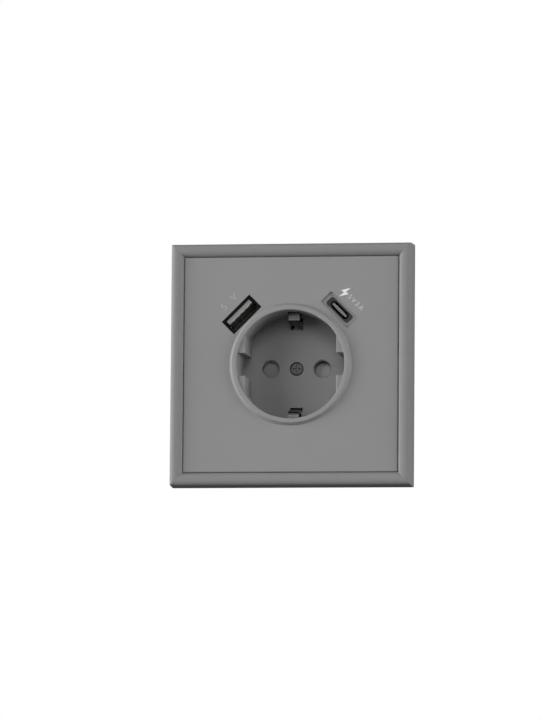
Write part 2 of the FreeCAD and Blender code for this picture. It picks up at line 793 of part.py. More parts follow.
def cover_screw():
    """The middle screw with a cross slot, which holds the plate to the earth bracket."""
    body = new_body("cover_screw")
    head_y = floor_y + S["screw_sink"]
    head = wall_drawing(body, "head", head_y).circle(0, 0, S["screw_head_radius"])
    pad_back("head_pad", head, S["screw_head_height"])
    shank = wall_drawing(body, "shank", head_y + S["screw_head_height"])
    shank.circle(0, 0, S["screw_radius"])
    pad_back("shank_pad", shank, S["screw_length"])
    slot = wall_drawing(body, "cross", head_y)
    slot.centred(S["screw_cross_length"], S["screw_slot_width"])
    cut_back("cross_cut", slot, S["screw_slot_depth"])
    other = wall_drawing(body, "cross_other", head_y)
    other.centred(S["screw_slot_width"], S["screw_cross_length"])
    cut_back("cross_other_cut", other, S["screw_slot_depth"])

    def rim(edge, box):
        return level_edge(box, head_y.value) and box.XLength > (S["screw_head_radius"] * 2).value - 1e-3

    round_edges(body, "head_edge", S["head_round"], rim)


def small_screw(seat, back, head_radius, head_height, shank_radius, shank_length):
    """A screw with a round-edged head, a cross in it and a plain shank, from its seat backwards."""
    head = Part.makeCylinder(head_radius, head_height, seat - back * head_height, back)
    top_y = (seat - back * head_height).y
    head = head.makeFillet(number["head_round"], [e for e in head.Edges if level_edge(e.BoundBox, top_y)])
    long, wide = head_radius * number["cross_share"], number["small_cross_width"] / 2
    deep = number["small_cross_depth"]
    for across, up in ((long, wide), (wide, long)):
        head = head.cut(slab(seat.x - across, seat.x + across, top_y - deep, top_y + deep,
                             seat.z - up, seat.z + up))
    return head.fuse(Part.makeCylinder(shank_radius, shank_length, seat, back)).removeSplitter()


def strip_along(points, radii, thickness, width):
    """A bent strip: straight runs with round bends, of one thickness and width, across X."""
    path = [FreeCAD.Vector(0, y, z) for y, z in points]
    edges = []
    start = path[0]
    for k in range(1, len(path) - 1):
        back = (path[k - 1] - path[k]).normalize()
        ahead = (path[k + 1] - path[k]).normalize()
        half = back.getAngle(ahead) / 2
        leg = radii[k - 1] / math.tan(half)
        first = path[k] + back * leg
        last = path[k] + ahead * leg
        middle_way = (back + ahead).normalize()
        middle = path[k] + middle_way * (radii[k - 1] / math.sin(half) - radii[k - 1])
        edges.append(Part.LineSegment(start, first).toShape())
        edges.append(Part.Arc(first, middle, last).toShape())
        start = last
    edges.append(Part.LineSegment(start, path[-1]).toShape())
    line = Part.Wire(edges)
    heading = (path[1] - path[0]).normalize()
    aside = FreeCAD.Vector(1, 0, 0).cross(heading) * (thickness / 2)
    over = FreeCAD.Vector(width / 2, 0, 0)
    corners = [path[0] + aside + over, path[0] + aside - over,
               path[0] - aside - over, path[0] - aside + over]
    section = Part.makePolygon(corners + corners[:1])
    return line.makePipeShell([section], True, False)


def slab(x0, x1, y0, y1, z0, z1):
    return Part.makeBox(x1 - x0, y1 - y0, z1 - z0, FreeCAD.Vector(x0, y0, z0))


def earth_bracket():
    """One folded strip: a bridge behind the shutter, a spring clip at each end, and a wire tail."""
    strip = number["clip_strip"]
    half = number["clip_width"] / 2
    middle_y = bridge_y.value + strip / 2
    root = number["clip_distance"]
    tip_y = number["clip_front"] + strip / 2
    finger = [
        (middle_y, root - number["bridge_lap"]), (middle_y, root), (number["clip_knee"], root),
        (number["clip_shoulder"], number["clip_reach"] + strip / 2),
        (tip_y, number["clip_reach"] + number["clip_turn_up"]), (tip_y, number["clip_tip"])]
    rounds = [strip, number["clip_knee_round"], number["clip_shoulder_round"], number["clip_tip_round"]]
    clip = strip_along(finger, rounds, strip, number["clip_width"])
    plate_end = root - number["bridge_end"]
    plate = slab(-number["bridge_width"] / 2, number["bridge_width"] / 2, middle_y - strip / 2,
                 middle_y + strip / 2, -plate_end, plate_end)
    tail_z = -number["clamp_up"]
    window = slab(-half, half, middle_y - strip, middle_y + strip, tail_z + strip / 2,
                  tail_z + strip / 2 + number["lance_length"])
    tail_end = (clamp_front_y + S["clamp_length"]).value
    tail = slab(-half, half, middle_y - strip / 2, tail_end, tail_z - strip / 2, tail_z + strip / 2)
    collar_radius = number["screw_radius"] + number["collar_wall"]
    back = FreeCAD.Vector(0, 1, 0)
    start = FreeCAD.Vector(0, middle_y - strip / 2, 0)
    collar = Part.makeCylinder(collar_radius, strip + number["collar_depth"], start, back)
    thread = Part.makeCylinder(number["screw_radius"] + number["thread_allowance"],
                               number["screw_length"] * 2, start - back * number["screw_length"], back)
    lower = clip.mirror(FreeCAD.Vector(), FreeCAD.Vector(0, 0, 1))
    shape = plate.cut(window).fuse([clip, lower, tail, collar]).cut(thread)
    own_shape("earth_bracket", shape.removeSplitter())


def line_contact(label, side):
    """A brass strip folded into a jaw for one pin, with a tail to its wire clamp."""
    body = new_body(label)
    x = pin_x * side
    strip = S["strip"]
    front, pinch, back = jaw_front_y, jaw_front_y + S["jaw_lead"], jaw_back_y
    lip, near, far = S["jaw_lip_gap"] / 2, S["jaw_pinch_gap"] / 2, S["jaw_back_gap"] / 2
    jaw = side_drawing(body, label + "_jaw", x).polygon([
        (front, lip), (pinch, near), (back - strip, far), (back - strip, -far), (pinch, -near), (front, -lip),
        (front, -lip - strip), (pinch, -near - strip), (back, -far - strip), (back, far + strip),
        (pinch, near + strip), (front, lip + strip)])
    pad_across(label + "_jaw_pad", jaw, S["jaw_width"])
    tail_z = -S["clamp_up"]
    tail = side_drawing(body, label + "_tail", x).polygon([
        (back - strip, -far), (back, -far), (back, tail_z - strip / 2),
        (clamp_front_y, tail_z - strip / 2), (clamp_front_y, tail_z + strip / 2),
        (back - strip, tail_z + strip / 2)])
    pad_across(label + "_tail_pad", tail, S["tail_width"])
    tab = wall_drawing(body, label + "_tab", back, (x, 0))
    tab.centred(S["solder_tab_width"], strip)
    pad_back(label + "_tab_pad", tab, S["solder_tab_length"])


def wire_clamp(label, x):
    """A brass cage round the end of a contact's tail: its screw lifts it and grips the wire."""
    body = new_body(label)
    top = clamp_top_z
    bottom = top - S["clamp_inside_height"]
    half = S["clamp_width"] / 2
    cage = wall_drawing(body, label + "_cage", clamp_front_y, (x, 0))
    cage.rectangle(-half, bottom - S["clamp_thread_wall"], half, top + S["clamp_wall"])
    cage.rectangle(-half + S["clamp_wall"], bottom, half - S["clamp_wall"], top)
    pad_back(label + "_cage_pad", cage, S["clamp_length"])
    thread = Drawing(body, label + "_thread", "XY_Plane", bottom, (x, clamp_middle_y))
    thread.circle(0, 0, S["terminal_screw_radius"] + S["thread_allowance"])
    feature("PartDesign::Pocket", label + "_thread_cut", thread, S["clamp_thread_wall"])


def terminal_screw(label, x):
    """The clamp's screw, turned from below through the hole in the housing."""
    body = new_body(label)
    tip = -S["clamp_up"] - S["clip_strip"] / 2 - S["terminal_screw_back"] * 2
    place = (x, clamp_middle_y)
    shank = Drawing(body, label + "_shank", "XY_Plane", tip, place)
    shank.circle(0, 0, S["terminal_screw_radius"])
    feature("PartDesign::Pad", label + "_shank_pad", shank, S["terminal_screw_length"], reverse=True)
    head = Drawing(body, label + "_head", "XY_Plane", tip - S["terminal_screw_length"], place)
    head.circle(0, 0, S["terminal_head_radius"])
    feature("PartDesign::Pad", label + "_head_pad", head, S["terminal_head_height"], reverse=True)
    end = tip - S["terminal_screw_length"] - S["terminal_head_height"]
    slot = Drawing(body, label + "_slot", "XY_Plane", end, place)
    slot.centred((S["terminal_head_radius"] + S["fit_gap"]) * 2, S["screw_slot_width"])
    feature("PartDesign::Pocket", label + "_slot_cut", slot, S["screw_slot_depth"], reverse=True)


def cut_ends(body, name, y, depth, radius, top=None, bottom=None):
    """Cuts a round outline's top or bottom straight, at the height given."""
    far = radius + PAST
    ends = wall_drawing(body, name, y)
    if top is not None:
        ends.rectangle(-far, top, far, far)
    if bottom is not None:
        ends.rectangle(-far, -far, far, -bottom)
    cut_back(name + "_cut", ends, depth)


def socket_base():
    """The moulded base: shutter chamber in front, contact and clamp chambers open at the back."""
    body = new_body("socket_base")
    front = floor_back_y
    depth = S["base_depth"] - front
    outline = wall_drawing(body, "base_outline", front)
    pad_back("base_block", outline.flat_sided(base_outer, base_half_width), depth)
    cut_ends(body, "base_top", front, depth, base_outer, top=S["base_top"])
    lobe = wall_drawing(body, "base_lobe", front)
    lobe.rectangle(-S["lobe_half_width"], 0, S["lobe_half_width"], S["lobe_top"])
    pad_back("base_lobe_pad", lobe, lobe_back_y - front)
    chamber = wall_drawing(body, "shutter_chamber", front).circle(0, 0, S["chamber_radius"])
    cut_back("shutter_chamber_cut", chamber, S["chamber_depth"])
    groove = wall_drawing(body, "bracket_groove", front)
    half = S["bridge_width"] / 2 + S["fit_gap"]
    groove.rectangle(-half, -S["clip_distance"] - S["clip_strip"], half, S["clip_distance"] + S["clip_strip"])
    cut_back("bracket_groove_cut", groove, S["chamber_depth"] + S["clip_strip"])
    entries = wall_drawing(body, "pin_entries", bridge_y)
    for side in (1, -1):
        entries.circle(pin_x * side, 0, S["pin_hole_radius"])
    cut_back("pin_entry_cut", entries, S["pin_entry_wall"])
    jaws = wall_drawing(body, "jaw_pockets", S["base_depth"])
    for side in (1, -1):
        near, far = pin_x - S["jaw_pocket_width"] / 2, pin_x + S["jaw_pocket_width"] / 2
        jaws.rectangle(near * side, -S["jaw_pocket_height"] / 2, far * side, S["jaw_pocket_height"] / 2)
    cut_front("jaw_pocket_cut", jaws, S["base_depth"] - bridge_y - S["pin_entry_wall"])
    tails = wall_drawing(body, "tail_grooves", S["base_depth"])
    tail_half = S["tail_width"] / 2 + S["fit_gap"]
    for side in (1, -1):
        near, far = pin_x - tail_half, pin_x + tail_half
        tails.rectangle(near * side, -S["clamp_up"], far * side, -S["jaw_back_gap"] / 2)
    cut_front("tail_groove_cut", tails, S["jaw_back_room"] + S["strip"] * 2)
    top = clamp_top_z + S["clamp_wall"]
    bottom = top - S["clamp_wall"] - S["clamp_inside_height"] - S["clamp_thread_wall"]
    clamp_half = S["clamp_width"] / 2 + S["fit_gap"]
    cages = wall_drawing(body, "clamp_pockets", S["base_depth"])
    ways = Drawing(body, "screw_ways", "XY_Plane", -base_outer, (0, clamp_middle_y))
    for x in terminals.values():
        cages.rectangle(x - clamp_half, bottom - S["fit_gap"], x + clamp_half, top + S["fit_gap"])
        ways.circle(x, 0, S["screw_way_radius"])
    cut_front("clamp_pocket_cut", cages, S["base_depth"] - clamp_front_y + S["fit_gap"])
    feature("PartDesign::Pocket", "screw_way_cut", ways, base_outer + bottom, reverse=True)
    ear = wall_drawing(body, "earth_tail_slot", bridge_y)
    ear_half = S["clip_width"] / 2 + S["fit_gap"]
    ear.rectangle(-ear_half, clamp_top_z - S["clip_strip"] - S["fit_gap"] * 2, ear_half, clamp_top_z)
    cut_back("earth_tail_cut", ear, clamp_front_y - bridge_y)
    blind = wall_drawing(body, "screw_end", bridge_y)
    blind.circle(0, 0, S["screw_radius"] + S["collar_wall"] + S["fit_gap"])
    cut_back("screw_end_cut", blind, S["screw_length"])
    bosses = wall_drawing(body, "housing_screw_holes", S["base_depth"])
    for side in (1, -1):
        bosses.circle(housing_screw_across * side, 0, S["housing_screw_radius"] + S["thread_allowance"])
    cut_front("housing_screw_cut", bosses, S["housing_screw_length"])
    inner = arm_outside - S["rivet_length"]
    for side in (1, -1):
        start = inner if side > 0 else -base_half_width
        hole = side_drawing(body, f"rivet_hole_{'right' if side > 0 else 'left'}", start)
        hole.circle(rivet_y, 0, S["rivet_radius"] + S["thread_allowance"])
        length = base_half_width - inner
        feature("PartDesign::Pocket", hole.sketch.Name + "_cut", hole, length, reverse=True)


def contact_cover():
    """The insulating sheet that closes the chambers at the back of the base."""
    body = new_body("contact_cover")
    back = S["base_depth"]
    outline = wall_drawing(body, "sheet_outline", back)
    pad_back("sheet", outline.flat_sided(base_outer, base_half_width), S["cover_sheet"])
    cut_ends(body, "sheet_top", back, S["cover_sheet"], base_outer, top=S["base_top"])
    holes = wall_drawing(body, "sheet_holes", back)
    for x in terminals.values():
        holes.circle(x, wire_z, S["wire_hole_radius"])
    for side in (1, -1):
        holes.circle(housing_screw_across * side, 0, S["housing_screw_radius"] + S["screw_clearance"])
        near, far = pin_x - S["solder_tab_width"], pin_x + S["solder_tab_width"]
        holes.rectangle(near * side, -S["strip"], far * side, S["strip"])
    cut_back("sheet_hole_cut", holes, S["cover_sheet"])


def mounting_yoke():
    """The steel support plate: slots for the box screws, and two arms that carry the base."""
    body = new_body("mounting_yoke")
    front = -S["yoke_sheet"]
    sheet_outline = wall_drawing(body, "yoke_outline", front)
    far = yoke_size / 2
    near = far - S["yoke_corner"]
    sheet_outline.polygon([
        (near, -far), (far, -near), (far, near), (near, far), (-near, far), (-far, near), (-far, -near),
        (-near, -far)])
    pad_back("yoke_plate", sheet_outline, S["yoke_sheet"])
    opening = wall_drawing(body, "yoke_opening", front).circle(0, 0, yoke_opening)
    cut_back("yoke_opening_cut", opening, S["yoke_sheet"])
    half = collar_a_length / 2 + S["port_notch_play"]
    notch_end = port_a_far + collar_a_height / 2 + S["port_notch_end"]
    for name, turn in (("left", turn_a), ("right", turn_c)):
        notch = wall_drawing(body, f"yoke_notch_{name}", front, (0, 0), turn)
        notch.rectangle(-half, 0, half, notch_end)
        cut_back(f"yoke_notch_{name}_cut", notch, S["yoke_sheet"])
    holes = wall_drawing(body, "yoke_corner_holes", front)
    reach_out = far - S["corner_hole_inset"]
    for side in (1, -1):
        for end in (1, -1):
            holes.circle(reach_out * side, reach_out * end, S["corner_hole_radius"])
    for side in (1, -1):
        holes.circle(S["carrier_screw_across"] * side, S["carrier_screw_up"],
                     S["carrier_screw_radius"] + S["screw_clearance"])
    cut_back("yoke_hole_cut", holes, S["yoke_sheet"])
    slots = wall_drawing(body, "yoke_slots", front)
    radius = S["fixing_hole_radius"]
    run = S["fixing_slot_length"] / 2 - radius
    for side in (1, -1):
        centre = S["fixing_spacing"] / 2 * side
        slots.rectangle(centre - run, -radius, centre + run, radius)
    cut_back("yoke_slot_cut", slots, S["yoke_sheet"])
    ends = wall_drawing(body, "yoke_slot_ends", front)
    for side in (1, -1):
        centre = S["fixing_spacing"] / 2 * side
        ends.circle(centre - run, 0, radius)
        ends.circle(centre + run, 0, radius)
    cut_back("yoke_slot_end_cut", ends, S["yoke_sheet"])
    arm_half = S["arm_width"] / 2
    roots = wall_drawing(body, "arm_roots", front)
    arms = wall_drawing(body, "arms", front)
    for side in (1, -1):
        roots.rectangle(arm_inside * side, -arm_half, (yoke_opening + S["yoke_sheet"]) * side, arm_half)
        arms.rectangle(arm_inside * side, -arm_half, arm_outside * side, arm_half)
    pad_back("arm_root_pad", roots, S["yoke_sheet"])
    pad_back("arm_pad", arms, S["yoke_sheet"] + arm_end_y)

    def fold(edge, box):
        at_arm = abs(abs(box.XMin) - arm_inside.value) < 1e-3
        return at_arm and box.XLength < 1e-4 and level_edge(box, front.value)

    def outer_corner(edge, box):
        return upright_edge(box) and reach(box) > far.value - 1e-3 and box.YMax < 1e-3

    round_edges(body, "arm_fold", S["yoke_bend_round"], fold)
    round_edges(body, "yoke_outer_corner", S["yoke_corner_round"], outer_corner)
    holes = side_drawing(body, "arm_rivet_holes")
    holes.circle(rivet_y, 0, S["rivet_radius"] + S["thread_allowance"])
    cut_across("arm_rivet_cut", holes, arm_outside * 2)


def base_rivets():
    """Two rivets through the yoke's arms into the base."""
    outside = arm_outside.value
    solids = []
    for side in (1, -1):
        out = FreeCAD.Vector(side, 0, 0)
        seat = FreeCAD.Vector(side * outside, rivet_y.value, 0)
        shank = Part.makeCylinder(number["rivet_radius"], number["rivet_length"], seat, out * -1)
        head = Part.makeCylinder(number["rivet_head_radius"], number["rivet_head_height"], seat, out)
        rim_x = side * (outside + number["rivet_head_height"])
        rim = [edge for edge in head.Edges
               if edge.BoundBox.XLength < 1e-4 and abs(edge.BoundBox.XMin - rim_x) < 1e-4]
        head = head.makeFillet(number["head_round"], rim)
        solids.append(shank.fuse(head).removeSplitter())
    own_shape("base_rivets", Part.makeCompound(solids))


def sector(inner, outer, y0, y1, end_z):
    """An upper ring sector between two radii, above the height end_z."""
    back = FreeCAD.Vector(0, 1, 0)
    start = FreeCAD.Vector(0, y0, 0)
    ring = Part.makeCylinder(outer, y1 - y0, start, back)
    ring = ring.cut(Part.makeCylinder(inner, y1 - y0, start, back))
    return ring.common(slab(-outer - 1, outer + 1, y0, y1, end_z, outer + 1))


def port_cutter(port, turn, length, height, y0, y1):
    """A box turned to a port's own angle, to cut a pocket for it."""
    block = slab(-length / 2, length / 2, y0, y1, -height / 2, height / 2)
    spin = FreeCAD.Rotation(FreeCAD.Vector(0, -1, 0), turn.value)
    block.Placement = FreeCAD.Placement(FreeCAD.Vector(port[0].value, 0, port[1].value), spin)
    return block


def usb_carrier():
    """The moulded half ring behind the yoke that holds both ports upright."""
    depth = number["carrier_depth"]
    gap = number["port_clearance"]
    shape = sector(carrier_inner.value, carrier_outer.value, 0, depth, number["carrier_end"])
    pocket_a = port_cutter(port_a, turn_a, number["shell_a_length"] + gap,
                           number["shell_a_height"] + gap, -PAST, depth + PAST)
    pocket_c = port_cutter(port_c, turn_c, number["shell_c_length"] + gap,
                           number["shell_c_height"] + gap, -PAST, depth + PAST)
    shape = shape.cut(pocket_a).cut(pocket_c)
    for side in (1, -1):
        start = FreeCAD.Vector(side * number["carrier_screw_across"], -number["yoke_sheet"],
                               number["carrier_screw_up"])
        hole = Part.makeCylinder(number["carrier_screw_radius"] + number["thread_allowance"],
                                 number["carrier_screw_length"] + number["screw_end_gap"],
                                 start, FreeCAD.Vector(0, 1, 0))
        shape = shape.cut(hole)
    own_shape("usb_carrier", shape.removeSplitter())


def carrier_screws():
    """Two small screws through the yoke into the carrier."""
    back = FreeCAD.Vector(0, 1, 0)
    solids = []
    for side in (1, -1):
        seat = FreeCAD.Vector(side * number["carrier_screw_across"], -number["yoke_sheet"],
                              number["carrier_screw_up"])
        solids.append(small_screw(
            seat, back, number["carrier_screw_head"], number["carrier_screw_head_height"],
            number["carrier_screw_radius"], number["carrier_screw_length"]))
    own_shape("carrier_screws", Part.makeCompound(solids))


def link_places():
    """Where the pins between the two boards stand, from left to right."""
    return [(k - (LINK_PINS - 1) / 2) * number["link_spacing"] for k in range(LINK_PINS)]


def usb_board():
    """The half-moon circuit board behind the carrier."""
    y0, y1 = shell_back_y.value, board_back_y.value
    shape = sector(carrier_inner.value, board_outer.value, y0, y1, number["carrier_end"])
    half = number["link_pin_width"] / 2 + number["thread_allowance"]
    up = number["link_up"]
    for x in link_places():
        shape = shape.cut(slab(x - half, x + half, y0, y1, up - half, up + half))
    own_shape("usb_board", shape)


def usb_controller():
    """The charging controller chip on the back of the port board."""
    body = new_body("usb_controller")
    place = (port_c[0] + S["chip_aside"], port_c[1] - S["chip_size"])
    chip = wall_drawing(body, "chip", board_back_y, place, turn_c)
    chip.centred(S["chip_size"], S["chip_size"])
    pad_back("chip_pad", chip, S["chip_height"])


def port_tube(label, port, turn, y, depth, outside, inside):
    """A short tube in a port's own turned frame, from two rounded outlines."""
    body = new_body(label)
    drawing = wall_drawing(body, label + "_outline", y, port, turn)
    drawing.rounded(*outside).rounded(*inside)
    pad_back(label + "_pad", drawing, depth)


def usb_a_port():
    """Collar, steel shell, tongue and four contacts of the flat rectangular port."""
    collar_y = plate_y + S["collar_set_back"]
    border = S["mouth_a_border"] * 2
    port_tube("usb_a_collar", port_a, turn_a, collar_y, S["collar_a_depth"],
              (collar_a_length, collar_a_height, S["collar_a_round"]),
              (S["shell_a_length"] - border, S["shell_a_height"] - border, S["collar_a_round"]))
    shell_y = collar_y + S["collar_a_depth"]
    inside = S["shell_sheet"] * 2
    port_tube("usb_a_shell", port_a, turn_a, shell_y, shell_back_y - shell_y,
              (S["shell_a_length"], S["shell_a_height"], S["shell_a_round"]),
              (S["shell_a_length"] - inside, S["shell_a_height"] - inside,
               S["shell_a_round"] - S["shell_sheet"]))
    body = new_body("usb_a_tongue")
    tongue_y = plate_y + S["tongue_set_back"]
    high = S["shell_a_height"] / 2 - S["shell_sheet"] - S["tongue_a_top_gap"]
    low = high - S["tongue_a_height"]
    half = S["shell_a_length"] / 2 - S["shell_sheet"] - S["tongue_a_side_gap"]
    tongue = wall_drawing(body, "tongue_a", tongue_y, port_a, turn_a).rectangle(-half, low, half, high)
    pad_back("tongue_a_pad", tongue, S["tongue_end"] - tongue_y)
    block = wall_drawing(body, "block_a", S["tongue_end"], port_a, turn_a)
    gap = S["port_clearance"]
    block.rounded(S["shell_a_length"] - inside - gap, S["shell_a_height"] - inside - gap,
                  S["shell_a_round"] - S["shell_sheet"])
    pad_back("block_a_pad", block, shell_back_y - S["tongue_end"])
    body = new_body("usb_a_contacts")
    strips_y = tongue_y + S["contact_set_back"]
    strips = wall_drawing(body, "contacts_a", strips_y, port_a, turn_a)
    width = S["contact_a_width"] / 2
    outer = S["contact_a_middle"] / 2 + S["contact_a_spacing"]
    inner = S["contact_a_middle"] / 2
    for x in (-outer, -inner, inner, outer):
        strips.rectangle(x - width, low - S["contact_a_height"], x + width, low)
    body.AllowCompound = True
    pad_back("contacts_a_pad", strips, S["tongue_end"] - strips_y)


def usb_c_port():
    """Collar, steel shell, tongue and contacts of the small rounded port."""
    collar_y = plate_y + S["recess_c_depth"] - S["collar_c_step"]
    nearly_half = 0.49
    port_tube("usb_c_collar", port_c, turn_c, collar_y, S["collar_c_depth"],
              (S["collar_c_length"], S["collar_c_height"], S["collar_c_round"]),
              (S["mouth_c_length"], S["mouth_c_height"], S["mouth_c_height"] * nearly_half))
    shell_y = collar_y + S["collar_c_depth"]
    inside = S["shell_sheet"] * 2
    width, height = S["shell_c_length"] - inside, S["shell_c_height"] - inside
    port_tube("usb_c_shell", port_c, turn_c, shell_y, shell_back_y - shell_y,
              (S["shell_c_length"], S["shell_c_height"], S["shell_c_height"] * nearly_half),
              (width, height, height * nearly_half))
    body = new_body("usb_c_tongue")
    tongue_y = plate_y + S["tongue_set_back"]
    tongue = wall_drawing(body, "tongue_c", tongue_y, port_c, turn_c)
    tongue.rounded(width - S["tongue_c_side_gap"] * 2, S["tongue_c_height"],
                   S["tongue_c_height"] * nearly_half)
    pad_back("tongue_c_pad", tongue, S["tongue_end"] - tongue_y)
    block = wall_drawing(body, "block_c", S["tongue_end"], port_c, turn_c)
    gap = S["port_clearance"]
    block.rounded(width - gap, height - gap, (height - gap) * nearly_half)
    pad_back("block_c_pad", block, shell_back_y - S["tongue_end"])
    body = new_body("usb_c_contacts")
    strips_y = tongue_y + S["contact_set_back"]
    strips = wall_drawing(body, "contacts_c", strips_y, port_c, turn_c)
    half = S["contact_c_width"] / 2
    edge_low = S["tongue_c_height"] / 2
    edge_high = edge_low + S["contact_c_height"]
    for k in range(CONTACTS_IN_ROW):
        x = S["contact_c_spacing"] * (k - (CONTACTS_IN_ROW - 1) / 2)
        strips.rectangle(x - half, edge_low, x + half, edge_high)
        strips.rectangle(x - half, -edge_high, x + half, -edge_low)
    body.AllowCompound = True
    pad_back("contacts_c_pad", strips, S["tongue_end"] - strips_y)


def shutter():
    """The child-protection shutter: a hub with two sloped lobes, which turn aside under both pins."""
    body = new_body("shutter")
    front = floor_back_y + S["shutter_gap"]
    back = front + S["shutter_plate"]
    bore = S["post_radius"] + S["shutter_bore_gap"]
    rear = bridge_y - S["shutter_gap"]
    hub = plan_drawing(body, "hub_section").rectangle(bore, front, S["shutter_hub_radius"], rear)
    turned("hub", hub)
    lobes = plan_drawing(body, "lobe_section")
    start = S["shutter_hub_radius"] - S["shutter_root"]
    lobes.rectangle(start, front, S["shutter_reach"], back)
    turned("right_lobe", lobes, angle=S["shutter_spread"])
    other = plan_drawing(body, "other_lobe_section")
    other.rectangle(-start, front, -S["shutter_reach"], back)
    turned("left_lobe", other, angle=S["shutter_spread"])
    slope_end = S["pin_hole_radius"] + S["shutter_gap"]
    run_in = S["shutter_reach"] - S["shutter_hub_radius"]
    middle = (S["shutter_reach"] + S["shutter_hub_radius"]) / 2
    for side in (1, -1):
        name = "right_ramp" if side > 0 else "left_ramp"
        ramp = side_drawing(body, name, middle * side)
        beyond = S["shutter_reach"] * side
        ramp.polygon([(front - PAST, -slope_end * side), (front, -slope_end * side),
                      (back - S["ramp_low"], slope_end * side), (back - S["ramp_low"], beyond),
                      (front - PAST, beyond)])
        cut_across(name + "_cut", ramp, run_in)


def shutter_spring():
    """The torsion spring round the shutter's hub: coil, fixed leg and moving leg."""
    wire = number["spring_wire"]
    pitch = number["spring_pitch"]
    radius = number["spring_radius"]
    turns = number["spring_turns"]
    lobe_back = (floor_back_y + S["shutter_gap"] + S["shutter_plate"]).value
    start_y = lobe_back + number["spring_gap"] + wire / 2
    helix = Part.makeHelix(pitch, pitch * turns, radius)
    helix.Placement = FreeCAD.Placement(FreeCAD.Vector(0, start_y, 0),
                                        FreeCAD.Rotation(FreeCAD.Vector(1, 0, 0), -90))
    first = helix.Edges[0].valueAt(helix.Edges[0].FirstParameter)
    heading = helix.Edges[0].tangentAt(helix.Edges[0].FirstParameter)
    section = Part.Wire([Part.makeCircle(wire / 2, first, heading)])
    coil = Part.Wire(helix.Edges).makePipeShell([section], True, True)
    last_edge = helix.Edges[-1]
    last = last_edge.valueAt(last_edge.LastParameter)
    leaving = last_edge.tangentAt(last_edge.LastParameter)
    leg_length = number["chamber_radius"] - radius - number["spring_leg_gap"]
    moving_leg = Part.makeCylinder(wire / 2, leg_length, first, heading * -1)
    fixed_leg = Part.makeCylinder(wire / 2, leg_length, last, leaving)
    own_shape("shutter_spring", coil.fuse([moving_leg, fixed_leg]).removeSplitter())


def power_board():
    """The power supply's circuit board, on the back of the insulating sheet."""
    body = new_body("power_board")
    outline = wall_drawing(body, "power_outline", cover_back_y)
    outline.flat_sided(power_board_outer, power_board_half_width)
    pad_back("power_sheet", outline, S["board_sheet"])
    cut_ends(body, "power_bottom", cover_back_y, S["board_sheet"], power_board_outer,
             bottom=S["power_board_bottom"])
    holes = wall_drawing(body, "power_holes", cover_back_y)
    for side in (1, -1):
        holes.circle(housing_screw_across * side, 0, S["housing_screw_radius"] + S["screw_clearance"])
        near, far = pin_x - S["solder_tab_width"], pin_x + S["solder_tab_width"]
        holes.rectangle(near * side, -S["strip"], far * side, S["strip"])
    half = S["link_pin_width"] / 2 + S["thread_allowance"]
    for k in range(LINK_PINS):
        x = S["link_spacing"] * (k - (LINK_PINS - 1) / 2)
        holes.rectangle(x - half, S["link_up"] - half, x + half, S["link_up"] + half)
    cut_back("power_hole_cut", holes, S["board_sheet"])


def transformer():
    """The small transformer: a wound bobbin between two core halves."""
    body = new_body("transformer")
    bottom = S["base_top"] + S["part_clearance"]
    core = wall_drawing(body, "bobbin", cover_back_y)
    half = S["transformer_width"] / 2 - S["core_overhang"]
    core.rectangle(-half, bottom, half, bottom + S["transformer_height"])
    pad_front("bobbin_pad", core, cover_back_y - transformer_y)
    band = wall_drawing(body, "core", cover_back_y - S["core_set_in"])
    wide = S["transformer_width"] / 2
    band.rectangle(-wide, bottom + S["core_overhang"], wide,
                   bottom + S["transformer_height"] - S["core_overhang"])
    pad_front("core_pad", band, cover_back_y - transformer_y - S["core_set_in"] * 2)


def can(label, side, radius, length):
    """A capacitor can that stands on the power board, facing forward."""
    body = new_body(label)
    x, z = S["capacitor_across"] * side, S["capacitor_up"]
    drawing = wall_drawing(body, label + "_outline", cover_back_y).circle(x, z, radius)
    pad_front(label + "_pad", drawing, length)
    front = (cover_back_y - length).value
    round_edges(body, label + "_edge", S["can_edge_round"], lambda edge, box: level_edge(box, front))


def bridge_rectifier():
    """The rectifier chip on the back of the power board."""
    body = new_body("bridge_rectifier")
    chip = wall_drawing(body, "rectifier", power_back_y, (0, S["base_top"] / 2))
    chip.centred(S["bridge_chip_width"], S["bridge_chip_height"])
    pad_back("rectifier_pad", chip, S["bridge_chip_depth"])


def link_pins():
    """Four pins that join the port board to the power board."""
    half = number["link_pin_width"] / 2
    y1 = power_back_y.value + number["link_solder_end"]
    pins = []
    for x in link_places():
        pins.append(slab(x - half, x + half, shell_back_y.value, y1,
                         number["link_up"] - half, number["link_up"] + half))
    block_y = cover_back_y.value - number["link_block_height"]
    wide = number["link_spacing"] * LINK_PINS / 2
    block = slab(-wide, wide, block_y, cover_back_y.value, number["link_up"] - number["link_spacing"] / 2,
                 number["link_up"] + number["link_spacing"] / 2)
    own_shape("link_pins", block.fuse(pins).removeSplitter())


